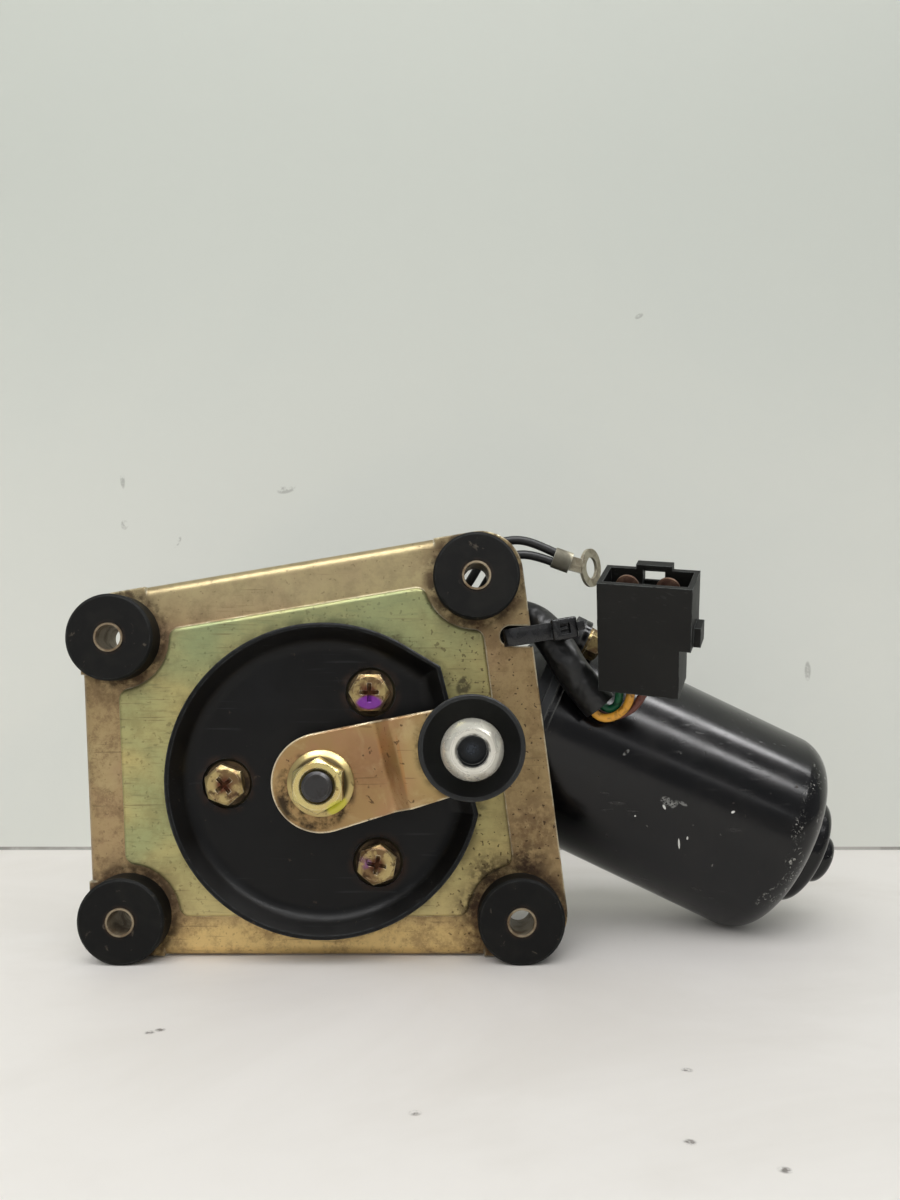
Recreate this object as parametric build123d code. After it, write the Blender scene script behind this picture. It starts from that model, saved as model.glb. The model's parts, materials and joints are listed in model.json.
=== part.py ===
"""Windscreen wiper motor with its bracket, crank arm and lead, in millimetres.

The motor is modelled lying on its back, as on a bench: the bracket plate lies in the XY plane with
the output shaft on the Z axis, and Z is the height in front of the plate. The last step stands it
up: bench X stays X, bench Y becomes Z, and bench Z points to -Y, towards whoever faces the crank.
"""
from math import acos, atan2, cos, degrees, pi, radians, sin, sqrt, tan
import os

from build123d import *

# ---- clearances -------------------------------------------------------------------------------
seat_gap = 0.02            # between pressed or screwed pieces of one body
running_gap = 0.05         # radial, between a shaft and its bush
free_gap = 0.3             # between pieces that move past each other

# ---- bracket plate ----------------------------------------------------------------------------
plate_thickness = 2.3
panel_rise = 2.0
panel_corner_radius = 14.7
panel_point_round = 3.0
panel_shoulder = 1.1
top_left_hole = (-59.0, 39.4)
top_right_hole = (42.0, 56.4)
bottom_left_hole = (-55.8, -38.8)
bottom_right_hole = (54.4, -38.8)
left_margin = 10.8
top_margin = 13.0
right_margin = 13.5
bottom_margin = 11.5
plate_corner_round = 12.0
rim_depth = 9.0
rim_bend = 3.0
rim_end_from_hole = 10.0
tie_slot_height = 40.0
tie_slot_width = 5.8
tie_slot_end = 51.7
shaft_hole_radius = 15.0

# ---- grommets and sleeves ---------------------------------------------------------------------
grommet_radius = 12.0
grommet_flange = 8.0
grommet_neck_radius = 8.5
grommet_edge = 0.6
sleeve_outer_radius = 4.0
sleeve_bore_radius = 3.4
sleeve_proud = 0.3

# ---- shaft seal -------------------------------------------------------------------------------
seal_rim_radius = 43.4
seal_rim_height = 9.0
seal_rim_land = 1.1
seal_floor = 1.8
seal_flare = 6.0
seal_crease_round = 5.0
seal_flat_distance = 38.9
seal_flat_angle = 14.4
seal_point_reach = 1.5     # of the rim's corner past the round rim
seal_screw_hole_radius = 6.95
seal_hub_radius = 9.0
seal_hub_height = 3.2

# ---- bracket screws ---------------------------------------------------------------------------
screw_circle_radius = 27.3
screw_first_angle = 62.5
screw_count = 3
screw_radius = 3.0
screw_hole_radius = 3.3
screw_length = 15.0
screw_head_flats = 10.0
screw_head_height = 4.0
flat_washer_radius = 6.2
flat_washer_thickness = 1.0
spring_washer_radius = 5.1
spring_washer_thickness = 1.4
cross_slot_length = 5.2
cross_slot_width = 1.1
cross_slot_depth = 1.8

# ---- crank arm, nut and ball stud -------------------------------------------------------------
crank_length = 41.6
crank_angle = 14.4
crank_thickness = 4.0
crank_height = 9.0
crank_joggle = 5.0
joggle_start = 17.5
joggle_run = 4.8
crank_big_radius = 13.5
crank_small_radius = 11.3
nut_flange_radius = 9.0
nut_flange_thickness = 2.0
nut_flats = 13.0
nut_height = 8.0
nut_thread_radius = 4.0
thread_past_nut = 2.0
ball_radius = 8.0
ball_centre_height = 30.3
ball_flat_radius = 5.65
ball_hole_radius = 3.8
ball_hole_depth = 6.0
ball_neck_radius = 4.6
ball_collar_radius = 5.8
ball_collar_height = 1.2
rivet_head_radius = 6.2
rivet_head_height = 1.6
boot_rim_radius = 13.9
boot_rim_height = 7.4
boot_base_radius = 8.6
boot_wall = 1.2

# ---- output shaft and its bushes --------------------------------------------------------------
shaft_radius = 5.0
shaft_seat_radius = 4.5
bush_radius = 8.0
bush_length = 9.0
tower_radius = 14.0
tower_front = -1.0
clip_radius = 7.5
clip_thickness = 0.9
clip_groove_radius = 4.2
thrust_washer_radius = 8.5
thrust_washer_thickness = 0.6

# ---- worm and worm wheel ----------------------------------------------------------------------
wheel_teeth = 50
tooth_module = 1.34
worm_pitch_radius = 5.0
pressure_angle = 20.0
tooth_addendum = 1.15
tooth_root_gap = 0.3
tooth_backlash = 0.3
wheel_width = 9.0
wheel_rim_depth = 5.0
wheel_web = 4.0
wheel_hub_radius = 10.0
wheel_hub_behind = 2.0
wheel_rib_count = 8
wheel_rib_width = 2.0
worm_turns = 6
worm_neck_past_thread = 2.5
motor_depth = 39.0         # of the motor axis behind the plate's front face
motor_tilt = 25.5          # of the motor axis below the horizontal, degrees

# ---- gear housing and cover -------------------------------------------------------------------
housing_wall = 3.5
wheel_side_gap = 2.4
housing_floor = 3.5
tunnel_behind_rim = 0.5    # from the worm tunnel's back to the housing's rim
post_radius = 7.0
rib_thickness = 3.0
rib_below_tower = 6.0
tunnel_radius = 12.5
chamber_gap = 1.6          # between the wheel's teeth and the chamber
tunnel_bore_radius = 8.4
tunnel_end = -34.0
tunnel_bore_end = -30.5
bell_start = 33.0
bell_full = 43.0
bell_past_yoke = 0.5
bell_opening_depth = 4.0    # the tunnel's bore runs this far into the bell
bell_wall = 3.5
bell_root = 8.0            # of the bell, sunk along the tunnel
flange_front = 48.5
flange_thickness = 2.5
flange_past_yoke = 2.1
ear_screw_gap = 0.4
ear_radius = 6.0
ear_angle = 40.0
thrust_boss_radius = 7.0
thrust_boss_length = 5.0
cover_thickness = 1.5
gasket_thickness = 0.8
cover_lug_radius = 5.5
cover_lug_circle = 43.5
cover_lug_angles = (130.0, 178.0, 226.0, 274.0, 311.0)
cover_lug_side = 19.0
lug_past_tunnel = 2.5
cover_flange_depth = 4.0
cover_dome_radius = 27.0
cover_dome_depth = 3.0
cover_screw_radius = 2.0
cover_screw_length = 5.0
cover_screw_head_radius = 3.9
cover_screw_head_height = 2.6

# ---- motor ------------------------------------------------------------------------------------
yoke_radius = 32.5
yoke_wall = 2.0
yoke_end_room = 16.3       # from the armature core to the can's end
yoke_corner_radius = 10.0
yoke_flange_thickness = 2.0
step_radius = 17.5
step_length = 7.7
step_round = 3.0
cap_radius = 8.0
cap_length = 7.0
cap_round = 3.0
magnet_thickness = 6.0
magnet_overhang = 4.0      # past each end of the armature core
magnet_span = 130.0
air_gap = 0.9
core_start = 74.0
core_end = 122.0
core_slots = 12
core_slot_width = 2.4
core_slot_radius = 2.9
core_slot_depth = 6.6
winding_reach = 9.0
winding_inner_radius = 7.0
motor_shaft_radius = 4.0
motor_shaft_chamfer = 0.5
worm_end_shaft = -29.2
commutator_radius = 11.0
commutator_start = 48.0
commutator_end = 62.0
commutator_bars = 12
commutator_slit = 0.7
commutator_slit_depth = 1.5
motor_bush_length = 8.0
middle_bush_start = 25.0
retainer_thickness = 1.0
retainer_shaft_gap = 1.0
tail_bush_length = 6.0
tail_bush_setback = 1.5
thrust_ball_radius = 1.6
thrust_screw_radius = 4.0
thrust_screw_length = 13.0
lock_nut_flats = 13.0
lock_nut_height = 4.0
brush_plate_thickness = 2.0
brush_plate_start = 44.6
brush_width = 5.0
brush_depth = 8.0
brush_length = 10.0
brush_box_wall = 0.8
brush_angles = (90.0, 210.0, 330.0)
spring_thickness = 0.5
yoke_screw_radius = 2.5
yoke_screw_length = 6.5
yoke_screw_flats = 8.0
yoke_screw_head = 4.0
yoke_washer_radius = 4.7
yoke_washer_thickness = 1.0

# ---- park switch ------------------------------------------------------------------------------
park_disc_outer = 26.0
park_disc_inner = 13.0
park_disc_thickness = 0.6
park_notch_width = 14.0
park_notch_depth = 5.0
contact_plate_thickness = 2.0
contact_plate_size = (24.0, 18.0)
contact_plate_offset = -19.0
contact_finger_width = 3.0
contact_finger_thickness = 0.4
contact_foot_length = 5.0   # of a finger, flat on its plate
contact_tracks = (-6.5, 0.0, 6.5)

# ---- lead, connector, tie and earth terminal --------------------------------------------------
cable_exit = (31.7, 37.35, -27.0)
cable_exit_direction = (0.304, 0.638, 0.707)
cable_boss_length = 24.0
cable_boss_width = 13.6
cable_boss_depth = 10.0
cable_boss_wall = 2.0
cable_boss_floor = 3.0
grommet_lip = 2.0
cable_neck_length = 4.0
sheath_radius = 5.0
wire_radius = 1.2
earth_wire_radius = 1.3
bend_share = 0.45          # of the shorter run, that each arc of a cord takes up

connector_corner = (72.9, 53.1, 21.0)
connector_yaw = -24.0
connector_tilt = 28.0
connector_roll = 6.5
connector_width = 24.8
connector_height = 32.4
connector_depth = 12.4
connector_wall = 1.4
connector_step = 2.9
connector_step_below = 18.0
connector_cavity = 13.4
latch_middle = 12.9        # across the face, from the connector's left side
latch_width = 9.6
latch_height = 1.2
latch_depth = 1.6
latch_wall = 0.8
latch_top_wall = 1.4
window_width = 5.8
window_height = 2.6
lock_tab_above_step = 5.4
lock_tab_reach = 1.9
lock_tab_height = 5.6
side_tab_reach = 1.0
side_tab_height = 1.8
blade_width = 6.3
blade_thickness = 0.8
blade_proud = 11.0

tie_strap_width = 4.2
tie_strap_thickness = 1.1
tie_head = (7.0, 5.4, 5.4)
tie_head_along = 14.6
tie_loop_size = (17.0, 16.2)
tie_loop_front = 1.5
tie_loop_round = 5.8
tie_rise = 9.0

terminal_centre = (76.9, 61.1, -18.6)
terminal_ring_radius = 5.75
terminal_hole_radius = 3.2
terminal_thickness = 0.9
terminal_turn = 53.0
terminal_neck_width = 4.2
barrel_start = (65.3, 63.8, -14.0)
barrel_end = (70.3, 62.0, -14.0)

# Each route is a list of points chosen by hand, from where the cord leaves to where it ends.
sheath_route = [
    (36.21, 35.21, -26.98), (38.95, 40.97, -20.6), (44.5, 45.1, -15.8), (52.6, 46.9, -13.6),
    (60.5, 44.5, -9.2), (65.6, 37.2, -4.3), (70.0, 28.8, -2.8), (77.4, 20.2, -2.8),
]
wire_yellow_route = [
    (75.59, 18.62, -2.8), (77.28, 16.67, -2.8), (80.9, 16.8, -2.0), (84.0, 19.2, -0.2), (85.3, 22.6, 2.3),
    (85.04, 26.74, 4.85),
]
wire_green_route = [
    (78.06, 20.74, -4.2), (79.6, 18.95, -4.2), (82.2, 19.9, -3.0), (82.6, 23.3, 0.2), (81.8, 26.95, 3.8),
]
wire_brown_route = [
    (76.20, 19.14, -5.5), (78.28, 16.73, -5.5), (83.6, 17.4, -4.6), (88.0, 20.4, -0.8), (89.5, 26.7, 5.7),
]
earth_upper_route = [
    (24.05, 41.04, -26.96), (27.0, 47.3, -20.0), (33.0, 51.0, -15.4), (39.0, 54.2, -13.8),
    (42.3, 59.4, -13.8), (44.9, 64.7, -14.0), (49.2, 68.2, -14.0), (55.0, 69.1, -14.0),
    (60.8, 67.5, -14.0), (66.2, 64.9, -14.0),
]
earth_lower_route = [
    (27.21, 39.53, -26.96), (30.2, 45.8, -20.0), (36.6, 47.9, -14.4), (42.4, 51.2, -13.6),
    (45.5, 56.4, -13.8), (48.6, 61.4, -14.0), (53.4, 64.6, -14.0), (59.4, 64.5, -14.0),
    (65.3, 62.3, -14.0),
]

# ---- worked out from the sizes above ----------------------------------------------------------
wheel_pitch_radius = tooth_module * wheel_teeth / 2
worm_pitch = pi * tooth_module
worm_lead_angle = degrees(atan2(worm_pitch, 2 * pi * worm_pitch_radius))
gear_centres = wheel_pitch_radius + worm_pitch_radius
worm_outer_radius = worm_pitch_radius + tooth_addendum
wheel_tip_radius = wheel_pitch_radius + tooth_addendum
worm_root_radius = gear_centres - wheel_tip_radius - tooth_root_gap
wheel_root_radius = gear_centres - worm_outer_radius - tooth_root_gap
wheel_front = -motor_depth + wheel_width / 2
wheel_back = wheel_front - wheel_width
chamber_radius = wheel_tip_radius + chamber_gap
housing_radius = chamber_radius + housing_wall
chamber_front = wheel_front + wheel_side_gap
panel_back = panel_rise - plate_thickness
seal_corner_radius = seal_rim_radius + seal_point_reach
housing_depth = motor_depth + tunnel_radius + tunnel_behind_rim
cover_lug_reach = gear_centres + tunnel_radius + lug_past_tunnel
yoke_start = flange_front
yoke_end = core_end + yoke_end_room
step_end = yoke_end + step_length
cap_end = step_end + cap_length
magnet_start = core_start - magnet_overhang
magnet_end = core_end + magnet_overhang
core_radius = yoke_radius - yoke_wall - magnet_thickness - air_gap
core_slot_circle = core_radius - core_slot_depth
bell_radius = yoke_radius + bell_past_yoke
flange_radius = yoke_radius + flange_past_yoke
ear_circle_radius = yoke_radius + yoke_washer_radius + ear_screw_gap
tail_shaft_end = cap_end - yoke_wall - 2 * (thrust_ball_radius + seat_gap)
worm_half = worm_turns / 2 * worm_pitch
cover_back = -housing_depth - gasket_thickness - cover_thickness
clip_low = tower_front + thrust_washer_thickness + free_gap

axis_along = Vector(cos(radians(motor_tilt)), -sin(radians(motor_tilt)), 0)
axis_across = Vector(sin(radians(motor_tilt)), cos(radians(motor_tilt)), 0)
motor_origin = axis_across * gear_centres + Vector(0, 0, -motor_depth)
# In the motor frame x points away from the wheel, y to the front and z along the shaft.
motor_frame = Plane(origin=motor_origin, x_dir=axis_across, z_dir=axis_along)
crank_frame = Plane.XY.rotated((0, 0, crank_angle))


# ---- helpers ----------------------------------------------------------------------------------
def rod(radius, low, high, at=(0, 0)):
    """A cylinder from one height to another."""
    return Pos(at[0], at[1], (low + high) / 2) * Cylinder(radius, high - low)


def ring(outer, inner, low, high, at=(0, 0)):
    """A plain washer."""
    return rod(outer, low, high, at) - rod(inner, low - 1, high + 1, at)


def block(x, y, z):
    """A box between two limits along each axis."""
    size = Box(x[1] - x[0], y[1] - y[0], z[1] - z[0])
    return Pos(sum(x) / 2, sum(y) / 2, sum(z) / 2) * size


def turned(*points):
    """A closed outline of (radius, height) points, turned about the Z axis."""
    outline = make_face(Plane.XZ * Polyline(*points, close=True))
    return revolve(outline, Axis.Z)


def hexagon(flats, low, high, turn=0):
    """A hexagonal prism, measured across its flats."""
    return Pos(0, 0, low) * extrude(Rot(0, 0, turn) * RegularPolygon(flats / 2, 6, major_radius=False),
                                    high - low)


def polar(radius, angle):
    """A point at an angle on a circle."""
    return (radius * cos(radians(angle)), radius * sin(radians(angle)))


def cross_recess(top):
    """The cross slot of a Phillips head, cut down from its top."""
    slot = block((-cross_slot_length / 2, cross_slot_length / 2),
                 (-cross_slot_width / 2, cross_slot_width / 2), (top - cross_slot_depth, top + 1))
    return slot + Rot(0, 0, 90) * slot


def on_motor(solid):
    """A piece modelled on the motor axis, put in its place."""
    return motor_frame.location * solid


def cord(name, points, radius):
    """A cord's solid: straight runs joined by arcs as large as the runs allow."""
    corners = [Vector(*point) for point in points]
    radii = []
    for before, here, after in zip(corners, corners[1:], corners[2:]):
        first, second = here - before, after - here
        half_turn = radians(first.get_angle(second)) / 2
        radii.append(bend_share * min(first.length, second.length) / tan(half_turn))
    path = FilletPolyline(*corners, radius=radii)
    section = Plane(path @ 0, z_dir=path % 0) * Circle(radius)
    solid = sweep(section, path=path)
    ideal = pi * radius ** 2 * path.length
    print(f"{name}: length {path.length:.1f}, volume {solid.volume / ideal:.4f} of section x length,"
          f" radii {', '.join(f'{value:.1f}' for value in radii)}")
    return solid


# ---- bracket ----------------------------------------------------------------------------------
plate_holes = {"tl": top_left_hole, "tr": top_right_hole, "bl": bottom_left_hole, "br": bottom_right_hole}


def shifted_line(start, end, distance):
    """A line through two holes, moved outwards by a margin (the outside is on its left)."""
    along = (Vector(*end) - Vector(*start)).normalized()
    outwards = Vector(-along.Y, along.X) * distance
    return Vector(*start) + outwards, along


def crossing(first, second):
    """The point where two lines, each a point and a direction, cross."""
    (a, u), (b, v) = first, second
    gap = b - a
    share = (gap.X * v.Y - gap.Y * v.X) / (u.X * v.Y - u.Y * v.X)
    return a + u * share


def plate_sides():
    """The plate's four straight sides, clockwise from the left one."""
    return [shifted_line(bottom_left_hole, top_left_hole, left_margin),
            shifted_line(top_left_hole, top_right_hole, top_margin),
            shifted_line(top_right_hole, bottom_right_hole, right_margin),
            shifted_line(bottom_right_hole, bottom_left_hole, bottom_margin)]


def plate_outline():
    """The flat plate's outline, with its corners rounded about the grommets."""
    sides = plate_sides()
    corners = [crossing(sides[i - 1], sides[i]) for i in range(4)]
    face = make_face(Polyline(*corners, close=True))
    return fillet(face.vertices(), plate_corner_round)


def rim(start, end, margin):
    """One folded rim of the plate, along the side that runs past two holes."""
    edge_point, along = shifted_line(start, end, margin)
    outwards = Vector(-along.Y, along.X)
    length = (Vector(*end) - Vector(*start)).length - 2 * rim_end_from_hole
    frame = Plane(edge_point + along * rim_end_from_hole, x_dir=outwards, z_dir=along)
    outer, inner = rim_bend, rim_bend - plate_thickness
    corner = (-outer, -outer)
    bend = Line((-outer, 0), (-outer, -plate_thickness))
    if inner > 0:
        bend += CenterArc(corner, inner, 90, -90)
    bend += Polyline((-plate_thickness, -outer), (-plate_thickness, -rim_depth), (0, -rim_depth), (0, -outer))
    bend += CenterArc(corner, outer, 0, 90)
    return extrude(frame * make_face(bend), length, dir=along)


def rim_strip(start, end, margin):
    """The flat strip that a folded rim replaces."""
    edge_point, along = shifted_line(start, end, margin)
    length = (Vector(*end) - Vector(*start)).length - 2 * rim_end_from_hole
    frame = Plane(edge_point + along * rim_end_from_hole, x_dir=along, z_dir=(0, 0, 1))
    deep = plate_thickness + 2
    return frame.location * block((0, length), (-rim_bend, rim_bend), (-deep, 1))


def panel_outline():
    """The raised panel: its sides run through the holes and turn in round the grommets."""
    face = make_face(Polyline(top_left_hole, top_right_hole, bottom_right_hole, bottom_left_hole, close=True))
    for hole in plate_holes.values():
        face -= Pos(*hole) * Circle(panel_corner_radius)
    return fillet(face.vertices(), panel_point_round)


def bracket_plate():
    """Pressed plate: raised panel, folded rims, holes for grommets, screws, shaft and tie."""
    plate = Pos(0, 0, -plate_thickness) * extrude(plate_outline(), plate_thickness)
    sides = [(bottom_left_hole, top_left_hole, left_margin),
             (top_left_hole, top_right_hole, top_margin),
             (bottom_right_hole, bottom_left_hole, bottom_margin)]
    for side in sides:
        plate -= rim_strip(*side)
    for side in sides:
        plate += rim(*side)
    panel = extrude(panel_outline(), panel_rise)
    panel = fillet(panel.faces().sort_by(Axis.Z)[-1].edges(), panel_shoulder)
    pocket = Pos(0, 0, -plate_thickness) * extrude(offset(panel_outline(), -plate_thickness), panel_rise)
    plate = plate + panel - pocket
    cut_depth = plate_thickness + panel_rise
    for hole in plate_holes.values():
        plate -= rod(grommet_neck_radius, -cut_depth, cut_depth, hole)
    for index in range(screw_count):
        plate -= rod(screw_hole_radius, -cut_depth, cut_depth, screw_place(index))
    plate -= rod(shaft_hole_radius, -cut_depth, cut_depth)
    slot_half = tie_slot_width / 2
    plate -= rod(slot_half, -cut_depth, cut_depth, (tie_slot_end, tie_slot_height))
    plate -= block((tie_slot_end, tie_slot_end + right_margin),
                   (tie_slot_height - slot_half, tie_slot_height + slot_half), (-cut_depth, cut_depth))
    return plate


def grommet(hole):
    """Rubber grommet with a front and a back flange and a neck through the plate."""
    back = -plate_thickness - grommet_flange + panel_rise
    profile = turned((sleeve_outer_radius + seat_gap, back), (grommet_radius - grommet_edge, back),
                     (grommet_radius, back + grommet_edge), (grommet_radius, -plate_thickness),
                     (grommet_neck_radius - seat_gap, -plate_thickness), (grommet_neck_radius - seat_gap, 0),
                     (grommet_radius, 0), (grommet_radius, grommet_flange - grommet_edge),
                     (grommet_radius - grommet_edge, grommet_flange),
                     (sleeve_outer_radius + seat_gap, grommet_flange))
    return Pos(*hole) * profile


def sleeve(hole):
    """Steel sleeve that a fixing bolt passes through."""
    back = -plate_thickness - grommet_flange + panel_rise
    return ring(sleeve_outer_radius, sleeve_bore_radius, back - sleeve_proud,
                grommet_flange + sleeve_proud, hole)


# ---- shaft seal and bracket screws ------------------------------------------------------------
def screw_place(index):
    """The centre of one of the bracket screws."""
    return polar(screw_circle_radius, screw_first_angle + index * 360 / screw_count)


def seal_outline(shrink):
    """The dish's D-shaped outline: a circle with one flat, and a small point where they meet."""
    face = Circle(seal_rim_radius - shrink)
    reach = 2 * seal_rim_radius
    flat = seal_flat_distance - shrink
    face -= Rot(0, 0, seal_flat_angle) * Pos(flat + reach / 2, 0) * Rectangle(reach, 2 * reach)
    corner_radius = seal_corner_radius - shrink
    corner_angle = seal_flat_angle + degrees(acos(flat / corner_radius))
    foot_angle = corner_angle + degrees(acos((seal_rim_radius - shrink) / corner_radius))
    inner_angle = seal_flat_angle + degrees(acos(flat / (seal_rim_radius - shrink)))
    point = make_face(Polyline(polar(corner_radius, corner_angle),
                               polar(seal_rim_radius - shrink, foot_angle), (0, 0),
                               polar(seal_rim_radius - shrink, inner_angle - 1), close=True))
    point -= Rot(0, 0, seal_flat_angle) * Pos(flat + reach / 2, 0) * Rectangle(reach, 2 * reach)
    return face + point


def shaft_seal():
    """Moulded rubber dish that throws water clear of the shaft and the bracket screws."""
    floor_top = panel_rise + seal_floor
    body = loft([Pos(0, 0, panel_rise) * seal_outline(seal_flare),
                 Pos(0, 0, seal_rim_height) * seal_outline(0)])
    slope = seal_flare / (seal_rim_height - panel_rise)
    inner_foot = seal_flare + seal_rim_land - seal_floor * slope
    hollow = loft([Pos(0, 0, floor_top) * seal_outline(inner_foot),
                   Pos(0, 0, seal_rim_height) * seal_outline(seal_rim_land)])
    dish = body - hollow
    crease = dish.edges().filter_by(lambda edge: abs(edge.center().Z - floor_top) < seat_gap)
    dish = fillet(crease, seal_crease_round)
    dish += rod(seal_hub_radius, panel_rise, floor_top + seal_hub_height)
    dish -= rod(shaft_radius + free_gap, 0, 2 * seal_rim_height)
    for index in range(screw_count):
        dish -= rod(seal_screw_hole_radius, 0, 2 * seal_rim_height, screw_place(index))
    return dish


def on_screws(make):
    """The same small piece at each bracket screw."""
    pieces = [Pos(*screw_place(index)) * Rot(0, 0, 40 * index) * make() for index in range(screw_count)]
    return Compound(pieces)


def flat_washer():
    """Plain washer between the panel and a spring washer."""
    return ring(flat_washer_radius, screw_radius + seat_gap, panel_rise, panel_rise + flat_washer_thickness)


def spring_washer():
    """Split washer, with its slit cut askew."""
    low = panel_rise + flat_washer_thickness
    washer = ring(spring_washer_radius, screw_radius + seat_gap, low, low + spring_washer_thickness)
    slit = Rot(20, 0, 0) * Box(2 * spring_washer_radius, 0.8, 4 * spring_washer_thickness)
    return washer - Pos(spring_washer_radius, 0, low + spring_washer_thickness / 2) * slit


def bracket_screw():
    """Hexagon head with a cross recess and a crowned top, on its shank."""
    under = panel_rise + flat_washer_thickness + spring_washer_thickness
    top = under + screw_head_height
    crown = turned((0, under), (screw_head_flats, under),
                   (screw_head_flats / 2 + 0.9, under + screw_head_height * 0.75),
                   (screw_head_flats / 2 - 0.6, top), (0, top))
    head = hexagon(screw_head_flats, under, top) & crown
    shank = rod(screw_radius, under - screw_length, under)
    return head + shank - cross_recess(top)


# ---- crank ------------------------------------------------------------------------------------
def crank_arm():
    """Joggled flat arm from the shaft to the ball stud."""
    low, high = crank_height, crank_height + crank_thickness
    raise_start, raise_end = joggle_start, joggle_start + joggle_run
    far = crank_length + crank_small_radius + 1
    near = -crank_big_radius - 1
    side = make_face(Plane.XZ * Polyline((near, low), (raise_start, low), (raise_end, low + crank_joggle),
                                         (far, low + crank_joggle), (far, high + crank_joggle),
                                         (raise_end, high + crank_joggle), (raise_start, high), (near, high),
                                         close=True))
    slab = extrude(side, crank_big_radius * 1.2, both=True)
    creases = slab.edges().filter_by(Axis.Y)
    creases = creases.filter_by_position(Axis.X, near + 1, far - 1)
    slab = fillet(creases, crank_thickness / 2)
    small_end = Pos(crank_length, 0) * Circle(crank_small_radius)
    shape = make_hull(Circle(crank_big_radius).edges() + small_end.edges())
    outline = extrude(shape, high + crank_joggle + 1)
    arm = slab & outline
    arm -= rod(shaft_seat_radius + seat_gap, 0, 2 * high)
    arm -= rod(ball_neck_radius + seat_gap, 0, 2 * high, (crank_length, 0))
    return crank_frame.location * arm


def crank_nut():
    """Flange nut that clamps the arm on the shaft."""
    low = crank_height + crank_thickness
    flange = turned((0, low), (nut_flange_radius, low), (nut_flange_radius, low + nut_flange_thickness / 2),
                    (nut_flats / 2, low + nut_flange_thickness + 0.6), (0, low + nut_flange_thickness + 0.6))
    crown = turned((0, low), (nut_flats, low), (nut_flats / 2 + 1.2, low + nut_height - 1.2),
                   (nut_flats / 2 - 0.3, low + nut_height), (0, low + nut_height))
    nut = flange + (hexagon(nut_flats, low, low + nut_height, turn=30) & crown)
    nut -= rod(nut_thread_radius + seat_gap, low - 1, low + nut_height + 1)
    mouth = turned((0, low + nut_height - 0.8), (nut_thread_radius, low + nut_height - 0.8),
                   (nut_thread_radius + 0.9, low + nut_height + 0.1), (0, low + nut_height + 0.1))
    return nut - mouth


def output_shaft():
    """Stepped shaft: wheel seat, clip groove, knurled crank seat and threaded end."""
    seat_low, seat_high = crank_height, crank_height + crank_thickness
    top = seat_high + nut_height + thread_past_nut
    back = wheel_back - wheel_hub_behind
    chamfer_size = 0.7
    return turned((0, back), (shaft_radius - chamfer_size, back), (shaft_radius, back + chamfer_size),
                  (shaft_radius, clip_low), (clip_groove_radius, clip_low),
                  (clip_groove_radius, clip_low + clip_thickness), (shaft_radius, clip_low + clip_thickness),
                  (shaft_radius, seat_low), (shaft_seat_radius, seat_low), (shaft_seat_radius, seat_high),
                  (nut_thread_radius, seat_high), (nut_thread_radius, top - chamfer_size),
                  (nut_thread_radius - chamfer_size, top), (0, top))


def ball_stud():
    """Ball with a flat and a hole, on a neck riveted through the arm."""
    arm_back = crank_height + crank_joggle
    arm_front = arm_back + crank_thickness
    flat_height = ball_centre_height + sqrt(ball_radius ** 2 - ball_flat_radius ** 2)
    ball = Pos(0, 0, ball_centre_height) * Sphere(ball_radius)
    ball &= rod(2 * ball_radius, arm_front, flat_height)
    stud = ball + rod(ball_neck_radius, arm_back - rivet_head_height, ball_centre_height)
    stud += rod(ball_collar_radius, arm_front, arm_front + ball_collar_height)
    rivet_back = arm_back - rivet_head_height
    stud += turned((0, arm_back), (rivet_head_radius, arm_back), (rivet_head_radius - 1, rivet_back),
                   (0, rivet_back))
    stud -= rod(ball_hole_radius, flat_height - ball_hole_depth, flat_height + 1)
    return crank_frame.location * Pos(crank_length, 0, 0) * stud


def ball_boot():
    """Rubber cup round the ball, which seals against the rod's socket."""
    low = crank_height + crank_joggle + crank_thickness
    high = low + boot_rim_height
    hole = ball_collar_radius + seat_gap
    cup = turned((hole, low), (boot_base_radius, low), (boot_rim_radius - 0.4, high - boot_wall - 0.6),
                 (boot_rim_radius, high - boot_wall), (boot_rim_radius, high - 0.3),
                 (boot_rim_radius - 0.3, high),
                 (boot_rim_radius - boot_wall, high), (boot_base_radius - 1.0, low + boot_wall + 0.4),
                 (hole, low + boot_wall))
    return crank_frame.location * Pos(crank_length, 0, 0) * cup


# ---- worm wheel and park switch ---------------------------------------------------------------
def involute_angle(radius):
    """How far an involute has turned, in radians, by the time it reaches a radius."""
    base = wheel_pitch_radius * cos(radians(pressure_angle))
    unrolled = acos(min(1.0, base / radius))
    return tan(unrolled) - unrolled


def wheel_tooth_outline():
    """The toothed rim's outline: involute flanks drawn as arcs through three points."""
    pitch_angle = 2 * pi / wheel_teeth
    base = wheel_pitch_radius * cos(radians(pressure_angle))
    half_at_pitch = pitch_angle / 4 - tooth_backlash / (2 * wheel_pitch_radius)
    levels = [max(wheel_root_radius, base), wheel_pitch_radius, wheel_tip_radius]
    halves = [half_at_pitch + involute_angle(wheel_pitch_radius) - involute_angle(level) for level in levels]
    mesh_angle = pi / 2 - radians(motor_tilt)

    def at(level, angle):
        return (level * cos(angle), level * sin(angle))

    lines = []
    for index in range(wheel_teeth):
        middle = mesh_angle + (index + 0.5) * pitch_angle
        rising = [at(level, middle - half) for level, half in zip(levels, halves)]
        falling = [at(level, middle + half) for level, half in zip(reversed(levels), reversed(halves))]
        next_root = at(levels[0], middle + pitch_angle - halves[0])
        lines += [ThreePointArc(*rising), Line(rising[2], falling[0]), ThreePointArc(*falling),
                  Line(falling[2], next_root)]
    return make_face(lines)


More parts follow.
